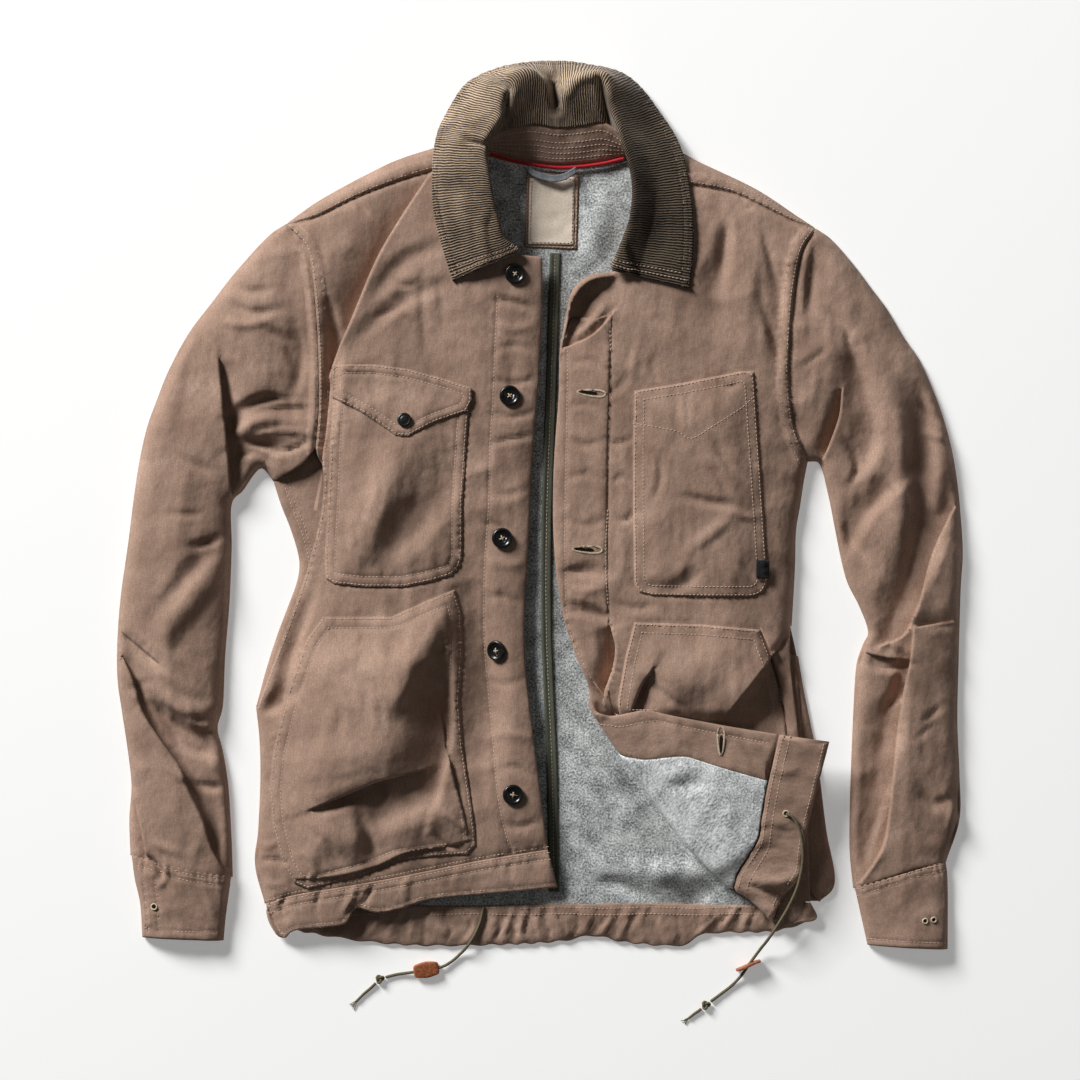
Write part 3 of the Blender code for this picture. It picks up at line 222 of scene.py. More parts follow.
def nearest(x, y, line, reach=1e9):
    """Distance to a line, the side (positive on its left) and how far along it, within a reach."""
    line = np.asarray(line, float)
    distance, side, along = np.full(x.shape, 1e9), np.ones(x.shape), np.zeros(x.shape)
    low, high = line.min(0) - reach, line.max(0) + reach
    near = (x > low[0]) & (x < high[0]) & (y > low[1]) & (y < high[1])
    if not near.any():
        return distance, side, along
    px, py = x[near], y[near]
    best, sides, alongs, start = np.full(px.shape, 1e9), np.ones(px.shape), np.zeros(px.shape), 0.0
    for (ax, ay), (bx, by) in zip(line[:-1], line[1:]):
        ux, uy = bx - ax, by - ay
        length = math.hypot(ux, uy)
        t = np.clip(((px - ax) * ux + (py - ay) * uy) / (length * length), 0, 1)
        d = np.hypot(px - ax - t * ux, py - ay - t * uy)
        nearer = d < best
        sides = np.where(nearer, np.sign(ux * (py - ay) - uy * (px - ax)), sides)
        alongs = np.where(nearer, start + t * length, alongs)
        best = np.minimum(best, d)
        start += length
    distance[near], side[near], along[near] = best, sides, alongs
    return distance, side, along


def inset(line, distance, closed=True):
    """The line moved to its left by a distance: inwards on a counterclockwise outline."""
    p = np.array(line, float)
    if closed:
        ahead, behind = np.roll(p, -1, 0), np.roll(p, 1, 0)
    else:
        ahead, behind = np.vstack([p[1:], 2 * p[-1] - p[-2]]), np.vstack([2 * p[0] - p[1], p[:-1]])
    tangent = ahead - behind
    tangent /= np.maximum(np.linalg.norm(tangent, axis=1), 1e-9)[:, None]
    return p + distance * np.column_stack([-tangent[:, 1], tangent[:, 0]])


def inside(x, y, polygon):
    """Which points lie inside a closed outline."""
    hit = np.zeros(np.shape(x), bool)
    for (ax, ay), (bx, by) in zip(polygon, list(polygon[1:]) + [polygon[0]]):
        crosses = (ay > y) != (by > y)
        with np.errstate(divide="ignore", invalid="ignore"):
            hit ^= crosses & (x < (bx - ax) * (y - ay) / (by - ay) + ax)
    return hit


def smooth_step(t):
    t = np.clip(t, 0, 1)
    return t * t * (3 - 2 * t)


def mottle(x, y, size, seed):
    """Smooth random values from 0 to 1 that change over about one size."""
    values = np.random.default_rng(seed).random((97, 97))
    u, v = x / size + 40.3, y / size + 40.7
    i, j = np.floor(u).astype(int), np.floor(v).astype(int)
    fu, fv = smooth_step(u - i), smooth_step(v - j)
    low = values[i % 97, j % 97] * (1 - fu) + values[(i + 1) % 97, j % 97] * fu
    high = values[i % 97, (j + 1) % 97] * (1 - fu) + values[(i + 1) % 97, (j + 1) % 97] * fu
    return low * (1 - fv) + high * fv


def table(text):
    """A table of folds from its text, a row each. Lines that start with # name what the rows belong to."""
    rows = (line.split() for line in text.split("\n") if line and not line.startswith("#"))
    return [dict(zip(FOLD_COLUMNS, map(float, row))) for row in rows]


FOLD_COLUMNS = ("x1", "y1", "x2", "y2", "x3", "y3", "height", "left", "right")
print("the columns of a fold:", *FOLD_COLUMNS)

# %% [markdown]
# ## Seam lines
#
# The jacket's own pattern, in millimetres on the table: X to the wearer's left, Y to the collar. Each
# line is a few points on a seam or an edge, and the solids are cut from the same ones.

# %% Seam lines of the right half
RIGHT_SHOULDER_EDGE = [(-97, 328), (-125, 319), (-150, 308), (-200, 281), (-233, 258)]
RIGHT_SHOULDER_SEAM = [(-66, 315), (-97, 308), (-130, 298), (-170, 282), (-205, 265), (-233, 258)]
RIGHT_ARMHOLE = [(-233, 258), (-214, 236), (-207, 205), (-203, 150), (-202, 90), (-205, 52)]
RIGHT_UNDERARM = [(-205, 52), (-219, 36), (-244, 22)]
RIGHT_SLEEVE_OUTER = [
    (-233, 258), (-250, 246), (-280, 213), (-300, 187), (-322, 158), (-340, 125), (-351, 98), (-361, 70),
    (-368, 38), (-373, 5), (-378, -35), (-385, -85), (-388, -125), (-388, -160), (-384, -190), (-378, -230),
    (-375, -260), (-377, -290), (-376, -322),
]
RIGHT_CUFF_SEAM = [(-376, -322), (-350, -328), (-320, -337), (-284, -342)]
RIGHT_CUFF_END = [(-366, -399), (-355, -402), (-320, -403), (-291, -402)]
RIGHT_CUFF_OUTER = [(-376, -322), (-373, -345), (-368, -368), (-366, -399)]
RIGHT_CUFF_INNER = [(-291, -402), (-289, -380), (-286, -358), (-284, -342)]
RIGHT_SLEEVE_INNER = [
    (-284, -342), (-285, -310), (-288, -260), (-293, -228), (-298, -206), (-293, -185), (-291, -140),
    (-287, -90), (-285, -40), (-285, 0), (-274, 14), (-262, 31), (-254, 34), (-244, 22),
]
RIGHT_SIDE_EDGE = [
    (-244, 22), (-237, 0), (-229, -20), (-222, -42), (-220, -57), (-223, -74), (-232, -98), (-241, -122),
    (-250, -150), (-260, -187),
]
RIGHT_LOW_EDGE = [(-260, -187), (-257, -215), (-256, -250), (-258, -300), (-261, -332), (-252, -368)]
RIGHT_FRONT_SIDE = [
    (-205, 52), (-198, 30), (-199, 0), (-205, -30), (-215, -65), (-228, -102), (-243, -142), (-260, -187),
]
RIGHT_HEM_SEAM = [
    (-252, -368), (-225, -359), (-180, -351), (-140, -344), (-100, -336), (-50, -326), (8, -317),
]
RIGHT_HEM_EDGE = [
    (-252, -368), (-247, -386), (-236, -400), (-225, -392), (-200, -389), (-178, -385), (-168, -371),
    (-150, -375), (-130, -372), (-100, -363), (-50, -358), (17, -352),
]
RIGHT_FRONT_EDGE = [
    (8, -317), (1, -262), (-6, -205), (-12, -150), (-13, -100), (-10, -45), (-8, 0), (-5, 55), (0, 120),
    (3, 190), (3, 227),
]
RIGHT_NECK = [(-22, 229), (-40, 240), (-54, 262), (-62, 290), (-66, 315)]
print("the right armhole is", len(run(RIGHT_ARMHOLE, 1.0)) - 1, "mm long")

# %% Seam lines of the left half
LEFT_SHOULDER_EDGE = [(133, 323), (150, 314), (200, 290), (238, 265), (255, 254)]
LEFT_SHOULDER_SEAM = [(102, 301), (135, 295), (175, 288), (205, 275), (232, 262), (255, 254)]
LEFT_ARMHOLE = [(255, 254), (242, 235), (235, 205), (231, 170), (229, 130), (230, 100), (235, 70), (247, 41)]
LEFT_SLEEVE_OUTER = [
    (255, 254), (270, 243), (290, 220), (305, 200), (320, 180), (335, 155), (350, 133), (362, 107),
    (372, 80), (380, 50), (385, 20), (388, -10), (390, -45), (388, -80), (386, -150), (385, -200),
    (387, -250), (387, -290), (375, -328),
]
LEFT_CUFF_SEAM = [(375, -328), (345, -334), (320, -342), (291, -352)]
LEFT_CUFF_OUTER = [(375, -328), (377, -350), (377, -410)]
LEFT_CUFF_END = [(377, -410), (340, -408), (303, -406)]
LEFT_CUFF_INNER = [(303, -406), (299, -388), (291, -352)]
LEFT_SLEEVE_INNER = [
    (291, -352), (288, -320), (288, -285), (289, -250), (291, -200), (294, -150), (300, -130), (305, -117),
    (297, -94), (286, -72), (280, -50), (274, -20), (268, 10), (260, 38), (247, 41),
]
LEFT_BODY_EDGE = [(247, 41), (243, 20), (240, 0), (236, -25), (235, -60), (232, -112)]
LEFT_SIDE_EDGE = [
    (232, -112), (238, -140), (243, -170), (250, -205), (256, -235), (264, -300), (272, -348), (258, -366),
]
LEFT_FRONT_SIDE = [
    (232, -112), (231, -135), (234, -170), (238, -205), (243, -250), (247, -300), (249, -345), (250, -366),
]
LEFT_HEM_SEAM = [(28, -357), (90, -359), (150, -362), (200, -364), (250, -366)]
LEFT_HEM_EDGE = [
    (24, -400), (90, -400), (160, -399), (190, -399), (215, -395), (235, -387), (256, -382), (250, -366),
]
LEFT_FRONT_EDGE = [
    (23, 165), (19, 140), (18, 100), (15, 60), (13, 20), (13, -20), (15, -55), (19, -85), (24, -110),
    (31, -132), (34, -155), (36, -178), (38, -200), (36, -250), (32, -310), (28, -357),
]
LEFT_NECK = [(102, 301), (98, 275), (90, 245), (80, 223), (68, 213)]
LEFT_NECK_EDGE = [(68, 213), (50, 211), (36, 203), (28, 190), (23, 165)]
BACK_NECK = [(102, 318), (80, 318), (50, 313), (15, 311), (-20, 315), (-45, 321), (-66, 322)]
print("the left armhole is", len(run(LEFT_ARMHOLE, 1.0)) - 1, "mm long")

# %% [markdown]
# The patch pockets, the flap, the labels and the tape are sewn onto the panels, so each has an outline of
# its own, drawn where it lies.

# %% Outlines of what is sewn onto the panels
RIGHT_CHEST_POCKET = [
    (-189, 112), (-150, 112), (-110, 108), (-63, 98), (-66, 60), (-70, 0), (-70, -45), (-72, -56),
    (-80, -65), (-100, -71), (-125, -76), (-160, -76), (-188, -73), (-196, -68), (-197, -55), (-194, 0),
    (-191, 60),
]
CHEST_FLAP = [
    (-190, 128), (-150, 128), (-120, 124), (-90, 116), (-62, 107), (-61, 96), (-66, 85), (-95, 75),
    (-120, 62), (-131, 63), (-160, 83), (-189, 98),
]
LEFT_CHEST_POCKET = [
    (87, 104), (130, 111), (160, 117), (185, 122), (197, 122), (200, 80), (203, 40), (207, -20), (210, -68),
    (207, -80), (196, -85), (150, -85), (104, -84), (92, -81), (87, -72), (86, 0), (86, 60),
]
RIGHT_HAND_POCKET = [
    (-198, -103), (-135, -103), (-100, -87), (-77, -78), (-71, -100), (-70, -140), (-73, -180), (-70, -220),
    (-64, -260), (-59, -295), (-58, -312), (-66, -321), (-100, -323), (-128, -327), (-160, -340),
    (-212, -353), (-225, -348), (-236, -330), (-245, -295), (-248, -262), (-244, -225), (-230, -170),
    (-214, -125),
]
LEFT_HAND_POCKET = [
    (87, -108), (150, -110), (203, -115), (213, -140), (222, -170), (227, -200), (230, -240), (231, -290),
    (227, -325), (213, -340), (150, -345), (88, -341), (77, -330), (72, -290), (71, -230), (72, -180),
    (79, -140),
]
LEFT_PLACKET_INNER = [(64, -357), (64, -250), (64, -150), (63, -50), (63, 50), (65, 120), (67, 176)]
FACING_INNER = [(72, -358), (70, -300), (67, -240), (65.5, -200)]
BACK_LINING = [
    (-60, 324), (-20, 314), (15, 309), (55, 312), (98, 320), (150, 300), (215, 265), (212, 200), (210, 90),
    (222, 20), (222, -110), (235, -250), (240, -371), (120, -373), (15, -373), (-120, -373), (-235, -371),
    (-238, -210), (-212, -100), (-198, -40), (-190, 60), (-190, 230), (-120, 298),
]
BACK_HEM_EDGE = [
    (-232, -392), (-170, -402), (-110, -407), (-30, -406), (20, -403), (50, -398), (80, -404), (130, -407),
    (156, -396), (215, -394), (246, -386),
]
BACK_HEM_TOP = -368.8
LABEL = [(-8.5, 301), (33, 302), (32, 239), (-10, 240)]
LABEL_BACKING = [(-11.5, 306), (37, 306), (35, 235), (-13.5, 237)]
FLAG_LABEL = [(199, -51), (211, -51), (211, -68), (199, -68)]
SEAM_TAPE = [
    (10, 232), (20, 232), (16, 100), (12, -20), (12, -120), (17, -240), (19, -357), (9, -357), (7, -240),
    (2, -120), (2, -20), (6, 100),
]
HANGER_LOOP = [(-10, 309), (-3, 304), (12, 300), (24, 302), (34, 308)]
print("the chest pocket is", RIGHT_CHEST_POCKET[3][0] - RIGHT_CHEST_POCKET[14][0], "mm wide")

# %% [markdown]
# Where cloth is pushed together it stands up in folds, and where it is pulled it sinks in drag lines. A
# simulation would find such folds by itself, but not these ones, so each is a row of a table: the start,
# middle and end of its line, its height (troughs are negative), and its widths to its left and right.

# %% Large folds
FOLDS = table("""
# right front and its pockets
-92 238 -125 222 -155 188 -3.5 14 12
-82 205 -130 185 -168 150 -3 12 12
-68 -66 -50 -140 -48 -245 -13 26 40
-86 -262 -128 -276 -168 -290 -8 24 26
-72 -84 -128 -162 -158 -246 4 40 50
-110 64 -136 6 -168 -52 5 24 40
-82 64 -92 5 -140 -48 -5 20 30
-222 236 -212 160 -212 76 -11 7 52
-196 196 -186 142 -192 60 -9 8 22
-205 -78 -226 -140 -241 -200 -9 5 22
-232 -245 -170 -228 -100 -215 4 26 24
-274 -190 -248 -188 -222 -172 -7 20 8
-86 -140 -86 -212 -98 -274 -13 8 48
-150 -262 -148 -296 -155 -328 -6 26 20
# right sleeve
-224 164 -218 132 -226 98 -4 7 10
-216 84 -250 96 -290 78 -6 15 9
-222 70 -250 78 -284 62 3.5 9 9
-232 54 -262 56 -290 46 -5 12 8
-366 -184 -335 -214 -296 -232 -13 26 10
-350 -176 -322 -190 -296 -190 4 14 8
-291 -50 -320 -90 -352 -128 5 16 24
-296 -36 -322 -66 -346 -98 -4 12 16
# left sleeve
352 120 354 40 350 -72 -9 16 24
378 -6 358 -62 328 -122 -9 6 44
336 -150 326 -232 298 -330 -7 6 40
300 152 328 80 336 -10 5 18 18
288 142 306 70 291 20 -9 12 32
278 -50 302 -6 337 27 -9 30 10
256 246 250 215 246 170 -6 26 6
264 160 270 132 266 108 3 14 18
338 -150 332 -172 321 -192 -6 4 12
# left front
224 216 221 170 219 122 -5.5 6 16
168 262 171 235 168 200 -3 12 12
150 260 165 215 160 150 -3 20 24
190 240 192 190 188 140 3 14 16
64 -62 44 -58 22 -62 -2.8 12 7
66 -104 44 -94 22 -90 -4.5 14 5
150 -60 120 -78 90 -72 -2.5 10 10
""")
print("large folds:", len(FOLDS))

# %% [markdown]
# Heavy duck breaks rather than bends: it slopes down to a line and stands up beyond it. Such a ledge is a
# line with its low side on the left, the drop and the width of the low side, the rise and the width of
# the high side. At a step the cloth falls off and stays low for a while; the columns are the same.

# %% Ledges and steps
LEDGES = [
    ([(-192, 112), (-186, 135), (-170, 170), (-148, 222), (-128, 258), (-97, 308)], 13, 44, 3, 45),
    ([(-206, -4), (-198, 40), (-192, 90), (-190, 134)], 7, 12, 1.5, 20),
    ([(-360, -330), (-365, -300), (-376, -256)], 6, 14, 1, 8),
    ([(261, 40), (270, 60), (277, 82), (278, 106)], 12, 18, 1.5, 10),
    ([(314, -130), (334, -122), (343, -108), (351, -88), (366, -39), (386, 4)], 16, 46, 2, 12),
    ([(291, -353), (306, -334), (319, -308), (326, -255), (331, -208), (336, -172), (342, -140), (344, -102)],
     12, 44, 2, 24),
    ([(343, -113), (365, -110), (386, -107)], 4, 16, 1, 10),
    ([(19, 142), (34, 148), (47, 154), (58, 164), (69, 178)], 3, 10, 1.2, 12),
    ([(50, -192), (60, -174), (69, -150), (71, -130), (65, -110)], 13, 32, 2.5, 20),
    ([(230, -206), (222, -165), (214, -138), (203, -114)], 5, 16, 1, 12),
]

STEPS = [
    ([(-104, -243), (-126, -247), (-148, -252), (-176, -264), (-209, -279)], 9, 44, 2, 40),
    ([(-93, -180), (-85, -222), (-77, -255), (-69, -284), (-66, -302)], 2.2, 12, 1.2, 25),
    ([(-64, -308), (-90, -314), (-120, -319), (-150, -332), (-185, -341), (-222, -344)], 2.2, 9, 1.2, 20),
    ([(-294, 133), (-292, 100), (-288, 60), (-283, 5)], 12, 26, 2, 30),
    ([(-388, -132), (-375, -160), (-366, -190), (-350, -215), (-331, -242), (-322, -265), (-310, -290),
      (-300, -320), (-283, -346)], 10, 40, 2, 30),
    ([(-350, -145), (-368, -130), (-388, -114)], 4, 13, 1, 12),
    ([(338, -143), (318, -140), (300, -136)], 6, 16, 1, 10),
    ([(67, 208), (50, 206), (38, 198), (31, 186), (27, 165), (22, 144)], 8, 26, 5, 6),
    ([(252, 252), (239, 228), (235, 200), (232, 160), (231, 120), (233, 95), (240, 55)], 1.6, 12, 0.6, 8),
    ([(104, -150), (92, -168), (82, -196)], 9, 36, 2, 14),
    ([(218, -134), (198, -158), (182, -178), (168, -198)], 13, 66, 2, 30),
    ([(232, -114), (237, -150), (241, -200), (246, -290)], 7, 16, 1, 10),
]
print("ledges:", len(LEDGES), "steps:", len(STEPS))

# %% [markdown]
# The lining, the collar and the turned corner have folds of their own, in the place where each lies.

# %% Folds of the lining, the collar and the corner
LINING_FOLDS = table("""
44 -222 82 -284 124 -350 6 26 34
50 -349 76 -351 96 -362 -4 10 8
92 -361 124 -372 158 -360 -4 12 8
104 -336 130 -342 156 -338 6 20 18
64 -222 106 -280 146 -334 -3 6 22
8 226 -2 20 4 -250 5 30 34
45 -325 75 -338 108 -336 4 18 18
24 -225 42 -262 52 -310 3 24 24
60 285 55 250 45 225 3 20 20
""")
COLLAR_FOLDS = table("""
-42 396 -15 405 12 391 3 8 8
13 388 14 377 17 362 -15 8 9
22 368 36 389 60 390 4 8 8
-42 396 -34 387 -26 377 -7 4 6
-25 382 -29 370 -32 356 -7 5 5
54 392 60 368 67 342 -9 6 6
-72 341 -58 336 -43 332 3 4 4
-72 336 -58 330 -43 326 -4.5 4 5
76 243 81 226 89 208 3.5 3 8
92 318 110 270 106 222 -5 16 18
-84 300 -74 262 -70 226 -2.5 10 12
-46 272 -52 250 -46 226 2.5 6 10
""")
CORNER_FOLDS = table("""
105 -262 130 -256 152 -258 -2.5 9 12
160 -196 185 -215 205 -225 2 14 14
195 -345 212 -352 228 -346 3 12 10
""")
print("folds of the collar:", len(COLLAR_FOLDS))

# %% [markdown]
# A collar can't be cut from flat outlines alone: it stands up and falls over. It is given across its
# width, as (x, y, z) of the neck seam, the stand's top, the roll and the outer edge, at stations from the
# wearer's right end of the collar, round the back of the neck, to the left end.

# %% The collar, and the places of the trims
COLLAR_STATIONS = [
    ((-25, 236, 20), (-22, 234, 25), (-19, 230, 30), (-79, 204, 24)),
    ((-36, 250, 20), (-34, 246, 27), (-34, 241, 35), (-90, 240, 23)),
    ((-50, 274, 20), (-46, 272, 29), (-42, 270, 38), (-97, 270, 22)),
    ((-57, 302, 19), (-52, 301, 29), (-47, 300, 39), (-98, 302, 20)),
    ((-58, 326, 14), (-54, 328, 27), (-50, 330, 39), (-95, 335, 14)),
    ((-46, 326, 9), (-42, 339, 24), (-36, 353, 40), (-86, 360, 7)),
    ((-28, 321, 8), (-28, 345, 24), (-27, 377, 41), (-66, 389, 5)),
    ((-8, 317, 8), (-6, 349, 22), (-6, 391, 40), (-36, 403, 4)),
    ((17, 314, 8), (18, 346, 21), (16, 372, 30), (5, 409, 4)),
    ((40, 315, 8), (40, 348, 22), (40, 386, 39), (45, 406, 4)),
    ((62, 318, 8), (59, 350, 24), (60, 386, 41), (84, 394, 5)),
    ((80, 322, 9), (73, 340, 24), (67, 358, 40), (116, 355, 7)),
    ((91, 321, 14), (84, 326, 27), (77, 331, 39), (131, 327, 14)),
    ((97, 303, 19), (92, 301, 29), (86, 299, 39), (137, 298, 20)),
    ((96, 275, 20), (91, 271, 29), (86, 267, 38), (141, 266, 22)),
    ((85, 248, 20), (82, 245, 27), (79, 240, 34), (141, 232, 22)),
    ((71, 222, 20), (70, 219, 25), (68, 214, 30), (138, 198, 23)),
]

# Buttons down the right front, and the snap on the flap
BUTTONS = [(-22, 211), (-27, 99.5), (-34, -31), (-38, -134), (-24, -266)]
SNAP = (-123, 77)

# Drawcords: (x, y, z) from where each leaves the hem to its toggle, knot and free end
RIGHT_CORD = [
    (-51, -371, 7.2), (-54, -384, 7.2), (-59, -396, 7.2), (-66, -407, 6.5), (-73, -415, 3),
    (-81, -422, 2.4), (-90.2, -426.8, 3.2), (-104, -429.3, 3.2), (-117.8, -431.8, 3.2), (-132, -434, 1.8),
    (-147, -438, 2.4),
]
RIGHT_TAIL = [(-147, -438, 2.4), (-155, -446, 1.7), (-162, -452, 1.6), (-169, -459, 1.6)]
LEFT_CORD = [
    (226, -283, 30), (232, -286, 31), (238, -297, 31), (241, -312, 29), (241, -330, 26), (237, -350, 23),
    (230, -367, 20), (221, -383, 19), (211, -399, 15), (203, -411, 7), (193, -425, 5.5), (187, -434, 4),
    (178, -444, 2), (165, -454, 1.8), (154, -462, 2.4),
]
LEFT_TAIL = [(154, -462, 2.4), (148, -467, 1.7), (143, -470.5, 1.6), (138, -474.5, 1.6)]
RIGHT_TOGGLE = dict(centre=(-104, -429.3, 3.2), size=(23.5, 13.5, 5), angle=9)
LEFT_TOGGLE = dict(centre=(193, -425, 5.6), size=(24, 2.6, 11), angle=10)
KNOT_SIZE = (7.5, 6, 4.6)

GATHER_LENGTH = 20.0  # of one wave in the back's hem band

# How far the pockets stand out, and over what width that fades to their edges
CHEST_POCKET_SWELL = (3, 32)
RIGHT_HAND_SWELL = (12, 55)
LEFT_HAND_SWELL = (7, 45)
print("stations of the collar:", len(COLLAR_STATIONS), "buttons:", len(BUTTONS))

# %% [markdown]
# ## The height of the cloth
#
# The upper layer is a dome between the garment's side edges: a tight roll at the edge, then a broad
# swelling. On it lie the large folds. A fold is a line with a height and two widths, because a real fold
# is steep on the side that the cloth hangs over, and gentle on the other.

# %% The dome and the large folds
EDGE_HEIGHT = 5.0
SIDE_LINES = [
    RIGHT_SHOULDER_EDGE,
    RIGHT_SLEEVE_OUTER + RIGHT_CUFF_OUTER[1:],
    RIGHT_CUFF_INNER + RIGHT_SLEEVE_INNER[1:],
    RIGHT_SIDE_EDGE + RIGHT_LOW_EDGE[1:] + [(-236, -400)],
    LEFT_SHOULDER_EDGE,
    LEFT_SLEEVE_OUTER + LEFT_CUFF_OUTER[1:],
    LEFT_CUFF_INNER + LEFT_SLEEVE_INNER[1:],
    LEFT_BODY_EDGE + LEFT_SIDE_EDGE[1:] + [(262, -382)],
]
OPENING_LINES = [RIGHT_FRONT_EDGE + [(17, -352)], LEFT_NECK_EDGE + LEFT_FRONT_EDGE[1:12]]


def folds_at(x, y, folds):
    """Sum of the soft troughs and ridges in a table of folds."""
    total = np.zeros(np.shape(x))
    for fold in folds:
        *line, height, left, right = (fold[column] for column in FOLD_COLUMNS)
        line = run(np.reshape(line, (3, 2)), 10.0)
        d, side, along = nearest(x, y, line, max(left, right) + 1)
        length = np.linalg.norm(np.diff(line, axis=0), axis=1).sum()
        across = np.clip(1 - d / np.where(side > 0, left, right), 0, 1)
        ends = np.sin(math.pi * np.clip(along / length, 0.02, 0.98)) ** 0.5
        total += height * ends * across * across * (3 - 2 * across)
    return total


def ledges_at(x, y):
    """Sum of ledges and steps: each drops within 1.6 mm, and fades out on both sides and at its ends."""
    total = np.zeros(np.shape(x))
    for number, (points, drop, low, rise, high) in enumerate(LEDGES + STEPS):
        line = run(points, 6.0)
        d, side, along = nearest(x, y, line, max(low, high) + 1)
        length = np.linalg.norm(np.diff(line, axis=0), axis=1).sum()
        ends = np.sin(math.pi * np.clip(along / length, 0.01, 0.99)) ** 0.5
        fallen = np.clip((d * side + 0.8) / 1.6, 0, 1)
        sloping = 1.15 * np.clip(1 - d / low, 0, 1) ** 1.9
        total -= drop * ends * fallen * (sloping if number < len(LEDGES) else 1 - smooth_step(d / low))
        total += rise * ends * (1 - fallen) * np.clip(1 - d / high, 0, 1) ** 2
    return total


def leaning(x, y):
    """How far points beside a ledge move, so that its high side hangs over the low one."""
    shift = np.zeros((len(x), 2))
    for points, drop, *_ in LEDGES + STEPS:
        line = run(points, 6.0)
        d, side, along = nearest(x, y, line, 5.0)
        close = d < 4.0
        if not close.any():
            continue
        length = np.linalg.norm(np.diff(line, axis=0), axis=1).sum()
        reach = min(2.4, 0.22 * drop) * np.sin(math.pi * np.clip(along[close] / length, 0.01, 0.99)) ** 0.5
        s, px, py, tiny = (d * side)[close], x[close], y[close], 0.05
        beside_x, beside_y = nearest(px + tiny, py, line, 6.0), nearest(px, py + tiny, line, 6.0)
        normal = np.column_stack([beside_x[0] * beside_x[1] - s, beside_y[0] * beside_y[1] - s]) / tiny
        far = np.clip((np.abs(s) - 0.8) / 3.2, 0, 1)
        goes = np.where(np.abs(s) < 0.8, -s * reach / 0.8, s - np.sign(s) * (0.8 + reach) * (1 - far))
        shift[close] += np.clip(goes - s, -4, 4)[:, None] * np.clip(normal, -1, 1)
    return shift


def ledge_lines():
    """Lines along the ledges where a panel needs points, so that it can drop sharply."""
    lines = []
    for points, drop, *_ in LEDGES + STEPS:
        line = run(points, 2.4)
        lines += [inset(line, offset, closed=False) for offset in (-2.6, -1.0, 1.0, 2.6)]
    return lines


def to_side(x, y):
    return np.minimum.reduce([nearest(x, y, line)[0] for line in SIDE_LINES])


def upper(x, y):
    """Height of the upper layer without its small relief."""
    d = to_side(x, y)
    toward_hem = 0.4 + 0.6 * smooth_step((y + 400) / 150)
    z = EDGE_HEIGHT + 7.0 * (1 - np.exp(-d / 5.0))
    z += 12.0 * np.sin(0.5 * math.pi * np.minimum(1, d / 90.0)) * toward_hem
    opening = np.minimum.reduce([nearest(x, y, line)[0] for line in OPENING_LINES])
    z -= 5.0 * np.exp(-opening / 18.0)
    z += (folds_at(x, y, FOLDS) + ledges_at(x, y)) * smooth_step(d / 12)
    return np.maximum(z, EDGE_HEIGHT)


LEDGE_LINES = ledge_lines()
FELLED_OFFSETS = (-10.5, -9.2, -0.9, 0.9, 9.2, 10.5)  # the edges of a felled seam's strip, on either side
for seam in (RIGHT_ARMHOLE, LEFT_ARMHOLE, RIGHT_SHOULDER_SEAM, LEFT_SHOULDER_SEAM):
    LEDGE_LINES += [inset(run(seam, 2.4), offset, closed=False) for offset in FELLED_OFFSETS]
print("lines along the ledges:", len(LEDGE_LINES))
